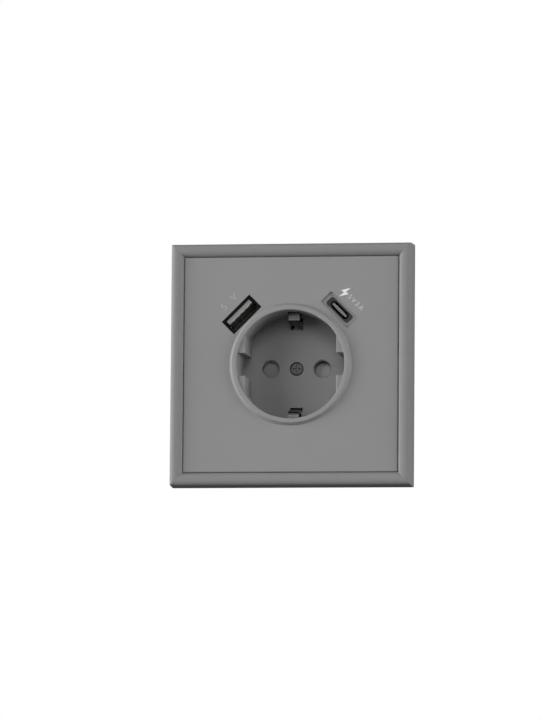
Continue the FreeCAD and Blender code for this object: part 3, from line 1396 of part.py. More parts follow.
def rear_housing():
    """The cup behind everything, with wire entries and ways for the clamp screws."""
    body = new_body("rear_housing")
    front = housing_front
    depth = housing_back - front
    wall = S["housing_wall"]
    outline = wall_drawing(body, "housing_outline", front)
    pad_back("housing_block", outline.flat_sided(housing_outer, housing_half_width), depth)

    def rear_edge(edge, box):
        return level_edge(box, housing_back.value)

    round_edges(body, "housing_corner", S["housing_corner_round"], lambda edge, box: upright_edge(box))
    round_edges(body, "housing_edge", S["housing_edge_round"], rear_edge)
    inside = wall_drawing(body, "housing_inside", front)
    inside.flat_sided(housing_outer - wall, housing_half_width - wall)
    cut_back("housing_inside_cut", inside, depth - wall)
    bosses = wall_drawing(body, "housing_bosses", power_back_y)
    for side in (1, -1):
        bosses.circle(housing_screw_across * side, 0, S["housing_screw_head"])
    pad_back("housing_boss_pad", bosses, housing_back - wall / 2 - power_back_y)
    holes = wall_drawing(body, "housing_holes", housing_back)
    for side in (1, -1):
        holes.circle(housing_screw_across * side, 0, S["housing_screw_radius"] + S["screw_clearance"])
    for x in terminals.values():
        holes.circle(x, wire_z, S["wire_hole_radius"])
    cut_front("housing_hole_cut", holes, housing_back - power_back_y)
    ways = Drawing(body, "driver_ways", "XY_Plane", -housing_outer, (0, clamp_middle_y))
    for x in terminals.values():
        ways.circle(x, 0, S["screw_way_radius"])
    feature("PartDesign::Pocket", "driver_way_cut", ways, S["driver_way_depth"], reverse=True)


def housing_screws():
    """Two screws from the rear, through housing and board, into the base."""
    forward = FreeCAD.Vector(0, -1, 0)
    length = (housing_back - S["base_depth"] + S["housing_screw_length"] - S["screw_end_gap"]).value
    solids = []
    for side in (1, -1):
        seat = FreeCAD.Vector(side * housing_screw_across.value, housing_back.value, 0)
        solids.append(small_screw(
            seat, forward, number["housing_screw_head"], number["housing_screw_head_height"],
            number["housing_screw_radius"], length))
    own_shape("housing_screws", Part.makeCompound(solids))


outer_frame()
cover_plate()
cover_screw()
shutter()
shutter_spring()
earth_bracket()
line_contact("live_contact", -1)
line_contact("neutral_contact", 1)
for terminal, place in terminals.items():
    wire_clamp(f"{terminal}_clamp", place)
    terminal_screw(f"{terminal}_screw", place)
socket_base()
contact_cover()
mounting_yoke()
base_rivets()
usb_carrier()
carrier_screws()
usb_board()
usb_controller()
usb_a_port()
usb_c_port()
power_board()
transformer()
can("input_capacitor", -1, S["input_can_radius"], S["input_can_length"])
can("output_capacitor", 1, S["output_can_radius"], S["output_can_length"])
bridge_rectifier()
link_pins()
rear_housing()
housing_screws()
doc.recompute()

failed = [item for item in doc.Objects if "Invalid" in item.State or "Error" in item.State]
if failed:
    reasons = [f"{item.Label} ({item.getStatusString()})" for item in failed]
    raise SystemExit("These objects failed to compute: " + ", ".join(reasons))
for piece in NODES:
    if piece.Shape.isNull() or not piece.Shape.isValid():
        raise SystemExit("This piece has no valid solid: " + piece.Label)

os.makedirs("parts", exist_ok=True)
for piece in NODES:
    piece.Shape.exportStep(f"parts/{piece.Label}.step")
    solids = len(piece.Shape.Solids)
    print(f"{piece.Label}: {solids} solid(s), {piece.Shape.Volume:.1f} mm3")
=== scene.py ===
# %% [markdown]
# # A flush wall socket with two charging ports
#
# The solids of this socket are already made: the square frame, the plate with its deep round
# recess, the spring clips, the ports and everything behind the wall. This notebook gives each of
# them its finish, adds the printed marks, the solder joints, the small chip parts and the threads
# of the screws, and sets up the camera and the light.
#
# All lengths are in metres, and everything shares one frame: +Z is up, the front faces -Y, and
# y = 0 is the wall. The solids stay as they are. They could be modelled again here, but then the
# picture would drift from the pieces that move and fit together. Their box is measured first,
# and its size is printed.

import math

import bmesh
import bpy
from mathutils import Matrix, Vector


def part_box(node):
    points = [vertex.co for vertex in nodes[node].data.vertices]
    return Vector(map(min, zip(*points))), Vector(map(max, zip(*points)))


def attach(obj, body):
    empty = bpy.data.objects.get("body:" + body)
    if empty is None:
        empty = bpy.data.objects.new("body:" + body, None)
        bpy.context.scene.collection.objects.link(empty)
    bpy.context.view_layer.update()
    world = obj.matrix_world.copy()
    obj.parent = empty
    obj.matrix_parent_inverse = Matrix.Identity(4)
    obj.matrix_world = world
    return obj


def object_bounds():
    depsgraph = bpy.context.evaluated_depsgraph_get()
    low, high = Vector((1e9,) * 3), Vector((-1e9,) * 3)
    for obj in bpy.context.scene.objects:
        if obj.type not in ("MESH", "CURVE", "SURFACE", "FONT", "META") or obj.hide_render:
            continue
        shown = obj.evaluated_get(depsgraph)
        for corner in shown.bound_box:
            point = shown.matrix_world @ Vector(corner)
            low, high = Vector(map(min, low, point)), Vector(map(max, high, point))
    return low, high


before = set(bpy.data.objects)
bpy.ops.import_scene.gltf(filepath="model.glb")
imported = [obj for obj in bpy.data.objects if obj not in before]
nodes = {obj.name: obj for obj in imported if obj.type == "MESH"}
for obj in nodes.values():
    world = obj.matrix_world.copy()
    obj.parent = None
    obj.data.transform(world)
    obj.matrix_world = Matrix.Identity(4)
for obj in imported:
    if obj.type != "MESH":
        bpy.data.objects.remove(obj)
cad_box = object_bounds()
MM = 0.001
print("size in mm:", [round((b - a) / MM, 1) for a, b in zip(*cad_box)])

# %% [markdown]
# ## Where the camera looks from
#
# The socket is seen from a little to the right and a little below, through a very long lens, so
# its square stays square. A camera could be dragged into place by eye. Here its direction comes
# from a bearing and a height angle round the middle of the front, because two angles are easy to
# compare with a photograph and easy to correct.

# %% The camera's direction
CAMERA_BEARING = math.radians(8.1)
CAMERA_RISE = math.radians(-6.3)


def direction(bearing, rise):
    """A unit vector; bearing 0 is straight in front, and positive is to the right."""
    return Vector((math.sin(bearing) * math.cos(rise),
                   -math.cos(bearing) * math.cos(rise),
                   math.sin(rise)))


towards_camera = direction(CAMERA_BEARING, CAMERA_RISE)
look = (-towards_camera).to_track_quat("-Z", "Y")
right, up = look @ Vector((1, 0, 0)), look @ Vector((0, 1, 0))
print("direction of the camera:", [round(part, 3) for part in towards_camera])

# %% [markdown]
# ## The camera
#
# The lens follows from the scale that the picture should have, in pixels for each millimetre.
# The socket stands a little right of the middle there, and a little below it. A lens shift would
# do that too, but it would stay when the camera is moved to another side, so the aim is moved
# aside instead. A slight roll shares the small skew between the level and the upright edges.

# %% Camera
PICTURE_HEIGHT = 720
SENSOR = 36.0
CAMERA_DISTANCE = 2.0
CAMERA_ROLL = math.radians(0.47)
PIXELS_PER_MM = 2.781
# the middle of the socket, in pixels right of and below the middle of the picture
ASIDE_PX, BELOW_PX = 20.1, 3.5

front_middle = Vector((0, cad_box[0].y, 0))
aside, below = [pixels / PIXELS_PER_MM * MM for pixels in (ASIDE_PX, BELOW_PX)]
aim = front_middle - right * aside + up * below

camera_data = bpy.data.cameras.new("camera")
camera_data.sensor_width = SENSOR
camera_data.lens = PIXELS_PER_MM / MM * SENSOR / PICTURE_HEIGHT * CAMERA_DISTANCE
camera_data.clip_start, camera_data.clip_end = 0.05, 50
camera = bpy.data.objects.new("camera", camera_data)
camera.rotation_mode = "QUATERNION"
camera.rotation_quaternion = look @ Matrix.Rotation(CAMERA_ROLL, 3, "Z").to_quaternion()
camera.location = aim + towards_camera * CAMERA_DISTANCE
bpy.context.scene.collection.objects.link(camera)
bpy.context.scene.camera = camera
bpy.context.scene.view_settings.view_transform = "Standard"
print("lens in mm:", round(camera_data.lens, 1))

# %% [markdown]
# ## Node trees as plain sums
#
# A procedural material is a small graph of nodes. Written node by node it is hard to read, so
# one class wraps the output of a node and gives it the usual operators: `1 - mask` or
# `noise * 0.2 + 0.4` then adds the Math nodes by itself. Every other node comes from one method,
# which takes the node's type, its own settings or a ramp's stops, and the values or links of its
# inputs. The same class serves the trees that make geometry, further down.

# %% The wire class
class Wire:
    """One output of a node, used like a number."""

    def __init__(self, tree, socket=None):
        self.tree = tree
        self.socket = socket

    def node(self, kind, settings=None, values=None, output=0):
        made = self.tree.nodes.new(kind)
        for name, setting in (settings or {}).items():
            if name == "stops":
                ramp = made.color_ramp.elements
                while len(ramp) < len(setting):
                    ramp.new(1.0)
                for element, (place, level) in zip(ramp, setting):
                    element.position = place
                    element.color = (level, level, level, 1)
            else:
                setattr(made, name, setting)
        for key, value in (values or {}).items():
            if isinstance(value, Wire):
                self.tree.links.new(value.socket, made.inputs[key])
            else:
                made.inputs[key].default_value = value
        return Wire(self.tree, made.outputs[output])

    def maths(self, operation, *values):
        return self.node("ShaderNodeMath", {"operation": operation}, dict(enumerate(values)))

    def __add__(self, other):
        return self.maths("ADD", self, other)

    def __radd__(self, other):
        return self.maths("ADD", other, self)

    def __sub__(self, other):
        return self.maths("SUBTRACT", self, other)

    def __rsub__(self, other):
        return self.maths("SUBTRACT", other, self)

    def __mul__(self, other):
        return self.maths("MULTIPLY", self, other)

    def __rmul__(self, other):
        return self.maths("MULTIPLY", other, self)

    def __abs__(self):
        return self.maths("ABSOLUTE", self)

    def __gt__(self, other):
        return self.maths("GREATER_THAN", self, other)

    def __lt__(self, other):
        return self.maths("LESS_THAN", self, other)


print("what a wire can do:", [name for name, part in vars(Wire).items() if callable(part)])

# %% [markdown]
# ## What every material needs
#
# All finishes here start the same way: one shader with a roughness, and the place on the object
# that patterns are read from. A pattern could follow an unwrapped map of the surface, but a solid
# from a CAD program has none, and its own coordinates give every piece its grain at true size.
# Colours go through a Mix node, because a Math node would turn them grey.

# %% Helpers for materials
OBJECT_PLACE = 3       # the Object output of Texture Coordinate
MIX_FACTOR, MIX_FIRST, MIX_SECOND, MIX_COLOUR = 0, 6, 7, 2      # a Mix node's colour sockets


def grey(level):
    return (level, level, level, 1)


def shaded(colour, factor):
    """The same colour, darker or lighter, still opaque."""
    return tuple(part * factor for part in colour[:3]) + (1,)


def new_material(name, roughness, metallic=0.0, specular=0.5):
    """A material with its shader, and the place on the object."""
    material = bpy.data.materials.new(name)
    material.use_nodes = True
    shader = material.node_tree.nodes["Principled BSDF"]
    shader.inputs["Roughness"].default_value = roughness
    shader.inputs["Metallic"].default_value = metallic
    shader.inputs["Specular IOR Level"].default_value = specular
    place = Wire(material.node_tree).node("ShaderNodeTexCoord", output=OBJECT_PLACE)
    return material, shader, place


def feed(shader, name, wire):
    wire.tree.links.new(wire.socket, shader.inputs[name])


painted = set()


def paint(material, *names):
    """Gives the named solids this material."""
    for name in names:
        nodes[name].data.materials.clear()
        nodes[name].data.materials.append(material)
        painted.add(name)


# %% Helpers for patterns
def mix_colours(factor, first, second):
    """Blends two colours by a factor that is a wire."""
    inputs = {MIX_FACTOR: factor, MIX_FIRST: first, MIX_SECOND: second}
    return factor.node("ShaderNodeMix", {"data_type": "RGBA"}, inputs, output=MIX_COLOUR)


def larger(first, second):
    return first.maths("MAXIMUM", first, second)


def noise(place, scale, detail=2.0):
    return place.node("ShaderNodeTexNoise", None,
                      {"Vector": place, "Scale": scale, "Detail": detail})


def bump(height, depth):
    """A normal from a height between 0 and 1, with its depth in metres."""
    return height.node("ShaderNodeBump", None,
                       {"Height": height, "Distance": depth, "Strength": 1.0})


def parts_of(place):
    """The X, Y and Z of a place, as three wires."""
    split = place.node("ShaderNodeSeparateXYZ", None, {0: place})
    return [Wire(place.tree, output) for output in split.socket.node.outputs]


# %% [markdown]
# ## Moulded plastic
#
# The frame and the plate are moulded in one dark grey thermoplastic. The mould is spark-eroded,
# which leaves a very fine, even roughness: no single grain can be seen from a step away, but it
# makes the surface matte and breaks up any reflection. A photograph of such a surface would do
# for one distance only. Two noises do it at any: a fine one for the bump and the gloss, and a
# broad one that shifts the colour by a few hundredths, as the flow of the melt does.

# %% Moulded plastic
ERODED_GRAIN, FINE_GRAIN, CHIP_GRAIN, COARSE_GRAIN = 0.25 * MM, 0.2 * MM, 0.12 * MM, 0.4 * MM
ERODED_DEPTH = 0.006 * MM
MELT_CLOUDS = 45.0      # clouds to the metre
GLOSS_SPREAD = 0.12


def moulded_plastic(name, colour, roughness, specular, grain=FINE_GRAIN, shift=0.03):
    material, shader, place = new_material(name, roughness, specular=specular)
    fine = noise(place, 1 / grain, 3.0)
    broad = noise(place, MELT_CLOUDS)
    feed(shader, "Base Color",
         mix_colours(broad, shaded(colour, 1 - shift), shaded(colour, 1 + shift)))
    feed(shader, "Roughness", fine * GLOSS_SPREAD + (roughness - GLOSS_SPREAD / 2))
    feed(shader, "Normal", bump(fine, ERODED_DEPTH))
    return material


plate_plastic = moulded_plastic("plate_plastic", grey(0.225), 0.6, 0.25, ERODED_GRAIN)
frame_plastic = moulded_plastic("frame_plastic", grey(0.225), 0.5, 0.0, ERODED_GRAIN)
paint(plate_plastic, "cover_plate")
paint(frame_plastic, "outer_frame")
print("grain of plate and frame in mm:", ERODED_GRAIN / MM)

# %% [markdown]
# ## The other moulded pieces
#
# The shutter is moulded in nearly the plate's grey. The base, which holds the live parts, is a
# white thermoset that stands heat, the cup at the back is black, and the ports sit in black and
# charcoal collars with grey tongues. They differ in colour, gloss and grain alone, so they all
# come from the function above.

# %% Shutter, base, cup and ports
shutter_plastic = moulded_plastic("shutter_plastic", grey(0.24), 0.5, 0.3, ERODED_GRAIN)
base_plastic = moulded_plastic("base_plastic", (0.78, 0.78, 0.75, 1), 0.45, 0.5,
                               ERODED_GRAIN, shift=0.02)
housing_plastic = moulded_plastic("housing_plastic", grey(0.035), 0.55, 0.4, COARSE_GRAIN)
black_plastic = moulded_plastic("black_plastic", grey(0.004), 0.5, 0.04)
charcoal_plastic = moulded_plastic("charcoal_plastic", grey(0.034), 0.5, 0.08)
tongue_plastic = moulded_plastic("tongue_plastic", grey(0.24), 0.5, 0.2)
slate_plastic = moulded_plastic("slate_plastic", grey(0.16), 0.5, 0.2)
chip_plastic = moulded_plastic("chip_plastic", grey(0.02), 0.6, 0.35, CHIP_GRAIN)

paint(shutter_plastic, "shutter")
paint(base_plastic, "socket_base")
paint(housing_plastic, "rear_housing")
paint(black_plastic, "usb_a_collar")
paint(charcoal_plastic, "usb_c_collar", "usb_carrier")
paint(tongue_plastic, "usb_a_tongue")
paint(slate_plastic, "usb_c_tongue")
paint(chip_plastic, "usb_controller", "bridge_rectifier")
print("solids painted so far:", len(painted))

# %% [markdown]
# ## Rolled strip, wire and screws
#
# The clips are nickel-plated strip, rolled along its length, so fine lines run that way. The
# contacts are brass, the port shells are tinned, and the screws are turned and zinc-plated, but
# for the dark one in the middle of the recess. One could draw such lines one by one, but noise
# that is stretched along one axis gives them at once: the place is scaled far more across the
# rolling direction than along it. A second, cloudy noise dulls the metal in patches, as handling
# and air do.

# %% Rolled metal
ROLLING_LINE, LINE_LENGTH = 0.12 * MM, 40      # width of a line, and its length in widths
ROLLING_DEPTH = 0.004 * MM
TARNISH_CLOUDS = 220.0
LINE_GLOSS, CLOUD_GLOSS = 0.14, 0.08
ALONG_X, ALONG_Y = 0, 1


def rolled_metal(name, colour, roughness, along=ALONG_Y, tarnish=0.12):
    """Metal with fine rolling lines that run along one axis."""
    material, shader, place = new_material(name, roughness, metallic=1.0)
    stretch = [1 / ROLLING_LINE] * 3
    stretch[along] = 1 / (ROLLING_LINE * LINE_LENGTH)
    scaled = place.node("ShaderNodeVectorMath", {"operation": "MULTIPLY"},
                        {0: place, 1: stretch})
    lines = noise(scaled, 1.0)
    cloud = noise(place, TARNISH_CLOUDS, 3.0)
    feed(shader, "Base Color", mix_colours(cloud, colour, shaded(colour, 1 - tarnish)))
    feed(shader, "Roughness", lines * LINE_GLOSS + cloud * CLOUD_GLOSS
         + (roughness - (LINE_GLOSS + CLOUD_GLOSS) / 2))
    feed(shader, "Normal", bump(lines, ROLLING_DEPTH))
    return material


# this nickel is far darker than real nickel: painted shade, so that its reflections of the bright
# surroundings come out dark
nickel_strip = rolled_metal("nickel_strip", (0.09, 0.09, 0.088, 1), 0.2)
tin_sheet = rolled_metal("tin_sheet", (0.25, 0.25, 0.25, 1), 0.4)
brass_strip = rolled_metal("brass_strip", (0.72, 0.52, 0.22, 1), 0.3, tarnish=0.25)
# this gold is darker than real gold plate: painted shade, so that the contacts stay dim inside
# the dark port
gold_plate = rolled_metal("gold_plate", (0.30, 0.25, 0.16, 1), 0.35, tarnish=0.05)
spring_wire = rolled_metal("spring_wire", (0.52, 0.52, 0.53, 1), 0.25, along=ALONG_X)
zinc_screw = rolled_metal("zinc_screw", (0.46, 0.47, 0.49, 1), 0.35, tarnish=0.18)
dark_screw = rolled_metal("dark_screw", (0.045, 0.045, 0.045, 1), 0.38, tarnish=0.2)

paint(nickel_strip, "earth_bracket")
paint(tin_sheet, "usb_a_shell", "usb_c_shell")
paint(brass_strip, "live_contact", "neutral_contact",
      "live_clamp", "neutral_clamp", "earth_clamp")
paint(gold_plate, "usb_a_contacts", "usb_c_contacts")
paint(spring_wire, "shutter_spring")
paint(zinc_screw, "live_screw", "neutral_screw", "earth_screw",
      "base_rivets", "carrier_screws", "housing_screws")
paint(dark_screw, "cover_screw")
print("rolling lines, width in mm:", ROLLING_LINE / MM)

# %% [markdown]
# ## Galvanised sheet
#
# The plate that carries the socket is steel that was dipped in zinc. The zinc freezes in large
# flat crystals, each with its own tone. Plain noise could vary the tone, but without edges. The
# cells of a Voronoi texture have them, so the colour of each cell sets the tone and the gloss of
# one crystal.

# %% Galvanised sheet
CRYSTALS = 260.0           # crystals to the metre, which makes each about 4 mm wide
DULL_CRYSTAL = 0.78
CRYSTAL_GLOSS, LEAST_ROUGHNESS = 0.16, 0.34
ZINC_GRAIN, ZINC_DEPTH = 2500.0, 0.003 * MM
VORONOI_COLOUR = 1


def galvanised_sheet(name, colour):
    material, shader, place = new_material(name, 0.42, metallic=1.0)
    cells = place.node("ShaderNodeTexVoronoi", None, {"Vector": place, "Scale": CRYSTALS},
                       output=VORONOI_COLOUR)
    tone = cells.node("ShaderNodeSeparateColor", None, {0: cells})
    feed(shader, "Base Color", mix_colours(tone, colour, shaded(colour, DULL_CRYSTAL)))
    feed(shader, "Roughness", tone * CRYSTAL_GLOSS + LEAST_ROUGHNESS)
    feed(shader, "Normal", bump(noise(place, ZINC_GRAIN), ZINC_DEPTH))
    return material


paint(galvanised_sheet("yoke_sheet", (0.60, 0.61, 0.62, 1)), "mounting_yoke")
print("crystals, width in mm:", round(1 / CRYSTALS / MM, 1))

# %% [markdown]
# ## Circuit boards
#
# Both boards are glass-fibre sheet under green solder mask. The copper below shows as slightly
# lighter tracks. Real tracks could be drawn as strips, but behind the wall only their rhythm
# shows, so bands of a wave texture, broken by coarse noise, are mixed in. The sawn edges have no
# mask and stay the colour of the fibre.

# %% Circuit boards
MASK_GREEN, TRACK_GREEN = (0.012, 0.105, 0.035, 1), (0.03, 0.17, 0.055, 1)
BARE_FIBRE = (0.42, 0.40, 0.22, 1)
TRACK_BANDS, TRACK_BREAKS = 120.0, 160.0      # to the metre
TRACK_EDGE, BREAK_EDGE = 0.62, 0.5            # above these the textures leave a track
TRACK_DEPTH, MASK_GRAIN = 0.02 * MM, 900.0
BARE_SHARE = 0.94                             # how much of the thickness is bare at the edge
WAVE_VALUE = 1


def circuit_board(name, front, back):
    """Green mask on the two faces of a sheet between the depths front and back."""
    material, shader, place = new_material(name, 0.35)
    _, y, _ = parts_of(place)
    bands = place.node("ShaderNodeTexWave",
                       {"wave_type": "BANDS", "bands_direction": "DIAGONAL"},
                       {"Vector": place, "Scale": TRACK_BANDS, "Distortion": 3.0, "Detail": 1.0},
                       output=WAVE_VALUE)
    tracks = (bands > TRACK_EDGE) * (noise(place, TRACK_BREAKS) > BREAK_EDGE)
    middle, half = (front + back) / 2, (back - front) / 2
    edge = abs(y - middle) < half * BARE_SHARE
    faces = mix_colours(tracks, MASK_GREEN, TRACK_GREEN)
    feed(shader, "Base Color", mix_colours(edge, faces, BARE_FIBRE))
    feed(shader, "Normal", bump(tracks, TRACK_DEPTH))
    feed(shader, "Roughness", noise(place, MASK_GRAIN) * 0.1 + 0.3)
    return material


for board in ("usb_board", "power_board"):
    low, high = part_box(board)
    paint(circuit_board(board + "_mask", low.y, high.y), board)
    print(board, "thickness in mm:", round((high.y - low.y) / MM, 2))

# %% [markdown]
# ## The transformer
#
# The transformer is one solid for its core and its winding. On the real one a dark ferrite core
# stands round a winding that is wrapped in yellow tape. Its colour could be split by face, but
# the faces of a solid carry no names, so it changes with the place: yellow where the winding
# comes out between the legs of the core, at the front and at the back, and dark elsewhere.

# %% Transformer
TAPE_YELLOW, TAPE_PALE = (0.62, 0.42, 0.04, 1), (0.70, 0.50, 0.07, 1)
LEG_INSIDE, CORE_DEPTH = 0.80, 0.33      # shares of the half width and of the whole depth
TAPE_CLOUDS, CORE_GRAIN, WOUND_GRAIN = 300.0, 1500.0, 2200.0
WOUND_DEPTH = 0.01 * MM


def wound_transformer(name, node):
    low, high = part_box(node)
    middle = (low + high) / 2
    material, shader, place = new_material(name, 0.55, specular=0.4)
    x, y, _ = parts_of(place)
    side = abs(x - middle.x) > (high.x - low.x) / 2 * LEG_INSIDE
    ends = abs(y - middle.y) > (high.y - low.y) * CORE_DEPTH
    tape = mix_colours(noise(place, TAPE_CLOUDS), TAPE_YELLOW, TAPE_PALE)
    core = mix_colours(noise(place, CORE_GRAIN), grey(0.03), grey(0.055))
    feed(shader, "Base Color", mix_colours(larger(side, 1 - ends), tape, core))
    feed(shader, "Normal", bump(noise(place, WOUND_GRAIN), WOUND_DEPTH))
    return material


paint(wound_transformer("transformer_core", "transformer"), "transformer")
print("solids painted so far:", len(painted))

# %% [markdown]
# ## The capacitors
#
# Each capacitor is an aluminium can in a dark shrink sleeve, with a light stripe that marks its
# negative side. The end is bare and scored with a cross, so that it can open if the can
# overheats. Stripe and end could be faces of their own, but the solid has no edges there, so all
# are told from the place on the can. The score is a bump, because it is too fine to need real
# geometry.

# %% Capacitors
SLEEVE_BLUE_BLACK = (0.012, 0.014, 0.03, 1)
BARE_END, STRIPE_SHARE = 0.25 * MM, 0.3      # depth of the bare end, and stripe to radius
SCORE_HALF_WIDTH, SCORE_DEPTH = 0.12 * MM, 0.08 * MM


def sleeved_can(name, node):
    """A capacitor's sleeve with its light stripe, and the bare scored end."""
    low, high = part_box(node)
    middle = (low + high) / 2
    material, shader, place = new_material(name, 0.3)
    x, y, z = parts_of(place)
    beside, above = x - middle.x, z - middle.z
    end = y < low.y + BARE_END
    stripe = (abs(above) < (high.x - low.x) / 2 * STRIPE_SHARE) * (beside > 0)
    sleeve = mix_colours(stripe, SLEEVE_BLUE_BLACK, grey(0.55))
    feed(shader, "Base Color", mix_colours(end, sleeve, grey(0.62)))
    feed(shader, "Metallic", end * 1.0)
    score = larger(abs(beside) < SCORE_HALF_WIDTH, abs(above) < SCORE_HALF_WIDTH)
    feed(shader, "Normal", bump(1 - score * end, SCORE_DEPTH))
    return material


CANS = ("input_capacitor", "output_capacitor")
for can in CANS:
    paint(sleeved_can(can + "_sleeve", can), can)
print("cans:", ", ".join(CANS))

# %% [markdown]
# ## The pins between the boards
#
# Four gold-plated pins join the two boards, and a black block on the front of the power board
# holds them at their pitch. Pins and block are one solid here. They could be painted face by
# face, but the place is enough to tell them apart, as on the transformer: the block is what
# lies just in front of the power board.

# %% Header pins
BLOCK_DEPTH, BLOCK_OVERLAP = 2.45 * MM, 0.02 * MM
BRIGHT_GOLD, WORN_GOLD = (0.85, 0.63, 0.28, 1), (0.78, 0.56, 0.24, 1)
GOLD_WEAR = 900.0


def header_pins(name):
    """Gold pins through a black block, which stands on the power board."""
    board_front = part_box("power_board")[0].y
    material, shader, place = new_material(name, 0.3)
    _, y, _ = parts_of(place)
    block = (y > board_front - BLOCK_DEPTH) * (y < board_front + BLOCK_OVERLAP)
    gold = mix_colours(noise(place, GOLD_WEAR), BRIGHT_GOLD, WORN_GOLD)
    feed(shader, "Base Color", mix_colours(block, gold, grey(0.015)))
    feed(shader, "Metallic", 1 - block)
    feed(shader, "Roughness", block * 0.25 + 0.28)
    return material


paint(header_pins("header_pins"), "link_pins")
print("block depth in mm:", BLOCK_DEPTH / MM)

# %% [markdown]
# ## The fibre sheet
#
# The back of the base is closed by a sheet of pressed fibre, which insulates and is cheap to
# stamp. It is brown, matte and a little felted. A noise with many octaves looks like matted
# fibres at this size, so it sets both the tone and the bump.

# %% Pressed fibre
DARK_FIBRE, LIGHT_FIBRE = (0.30, 0.17, 0.08, 1), (0.45, 0.29, 0.15, 1)
FIBRE_SCALE, FIBRE_OCTAVES, FIBRE_DEPTH = 700.0, 6.0, 0.02 * MM


def pressed_fibre(name):
    material, shader, place = new_material(name, 0.8, specular=0.2)
    fibres = noise(place, FIBRE_SCALE, FIBRE_OCTAVES)
    feed(shader, "Base Color", mix_colours(fibres, DARK_FIBRE, LIGHT_FIBRE))
    feed(shader, "Normal", bump(fibres, FIBRE_DEPTH))
    return material


paint(pressed_fibre("pressed_fibre"), "contact_cover")
print("solids painted:", len(painted), "of", len(nodes))

# %% [markdown]
# ## Helpers for the pieces made here
#
# Each piece made here is a plain mesh with its place in its own points, so that its object sits
# at the origin like the solids do. It could be moved by its object instead, but then a pattern on
# it would slide when the object is put back. It rides on a body, which moves it with the solids
# of that body.

# %% Piece helpers
def finish_piece(piece, body):
    """Puts the object's place into its mesh, and lets it ride on a body."""
    piece.data.transform(piece.matrix_basis)
    piece.matrix_basis = Matrix.Identity(4)
    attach(piece, body)
    print(piece.name, "faces:", len(piece.data.polygons))


def object_from(name, data):
    piece = bpy.data.objects.new(name, data)
    bpy.context.scene.collection.objects.link(piece)
    return piece


# %% [markdown]
# ## Ink on the plate
#
# Beside each port is a small pad print. A pad print is a film of ink a few hundredths of a
# millimetre thick. It could be a patch of colour in the plate's material, but its edges would
# then be as soft as a texture. So each mark is a thin raised slab that lies on the plate's face,
# turned with its port.

# %% Ink, and where it stands
INK_DEPTH = 0.03 * MM
INK_GRAIN, INK_BUMP = 2600.0, 0.004 * MM
INK_THIN, INK_FULL = 0.9, 1.05      # shares of its level where the ink is thin and full
RIM_HEIGHT = 1.5 * MM      # how far the recess's rim stands out of the plate's face
PORT_TURN = math.radians(45)
plate_face_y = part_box("cover_plate")[0].y + RIM_HEIGHT


def ink(name, level):
    material, shader, place = new_material(name, 0.5, specular=0.3)
    cover = noise(place, INK_GRAIN, 3.0)
    feed(shader, "Base Color", mix_colours(cover, grey(level * INK_THIN), grey(level * INK_FULL)))
    feed(shader, "Normal", bump(cover, INK_BUMP))
    return material


def stand_on_plate(across, up_by, turn):
    """Turns a flat drawing in X and Y to face the front, at a place in mm on the plate."""
    place = Matrix.Translation((across * MM, plate_face_y, up_by * MM))
    upright = Matrix.Rotation(math.radians(90), 4, "X")
    return place @ Matrix.Rotation(-turn, 4, "Y") @ upright


print("plate face at y in mm:", round(plate_face_y / MM, 2))

# %% [markdown]
# ## The numbers
#
# Each port has a plain number beside it: its voltage and, beside the fast one, its current.
# Drawing figures point by point would take long and look uneven, so they come from Blender's own
# font, made a mesh before they are placed. A negative offset thins the strokes of the larger
# number, as on a fine pad print.

# %% Printed numbers
CAPITAL_SHARE = 0.7      # how high a capital is, as a share of the font's size
TEXT_STEPS = 6


def printed_number(name, text, height, spacing, thinner, stand, material):
    """Numbers of a height in mm, with strokes that are thinner by so many mm."""
    curve = bpy.data.curves.new(name + "_text", "FONT")
    curve.body = text
    curve.align_x, curve.align_y = "CENTER", "CENTER"
    curve.size = height / CAPITAL_SHARE * MM
    curve.space_character = spacing
    curve.offset = -thinner * MM
    curve.extrude = INK_DEPTH / 2
    curve.resolution_u = TEXT_STEPS
    source = object_from(name + "_source", curve)
    depsgraph = bpy.context.evaluated_depsgraph_get()
    mesh = bpy.data.meshes.new_from_object(source.evaluated_get(depsgraph))
    bpy.data.objects.remove(source)
    mesh.transform(stand)
    mesh.materials.clear()
    mesh.materials.append(material)
    return object_from(name, mesh)


grey_ink, pale_ink = ink("grey_ink", 0.36), ink("pale_ink", 0.48)
finish_piece(printed_number("wide_port_number", "5 V", 2.6, 1.5, 0.04,
                            stand_on_plate(-22.5, 22.7, PORT_TURN), grey_ink),
             "socket")
finish_piece(printed_number("small_port_number", "5 V 3 A", 1.75, 0.92, 0.0,
                            stand_on_plate(23.45, 22.1, -PORT_TURN), pale_ink),
             "socket")

# %% [markdown]
# ## The flash
#
# A small lightning flash stands before the number of the fast port. It is an outline of six
# points, drawn for this socket. A flat outline with so few corners is quickest as one face that
# is pushed out to the depth of the ink, with its normals turned outwards at the end.

# %% Printed flash
FLASH = [(0.4, 2.6), (-1.5, -0.4), (-0.2, -0.3), (-0.5, -2.6), (1.5, 0.5), (0.2, 0.35)]


def printed_outline(name, points, stand, material):
    """A slab of ink with a straight-sided outline, given in mm."""
    shape = bmesh.new()
    corners = [shape.verts.new((x * MM, y * MM, -INK_DEPTH / 2)) for x, y in points]
    grown = bmesh.ops.extrude_face_region(shape, geom=[shape.faces.new(corners)])
    moved = [part for part in grown["geom"] if isinstance(part, bmesh.types.BMVert)]
    bmesh.ops.translate(shape, vec=(0, 0, INK_DEPTH), verts=moved)
    bmesh.ops.recalc_face_normals(shape, faces=shape.faces)
    mesh = bpy.data.meshes.new(name)
    shape.to_mesh(mesh)
    shape.free()
    mesh.transform(stand)
    mesh.materials.append(material)
    return object_from(name, mesh)


finish_piece(printed_outline("flash_mark", FLASH, stand_on_plate(19.5, 25.9, -PORT_TURN),
                             ink("white_ink", 0.72)),
             "socket")

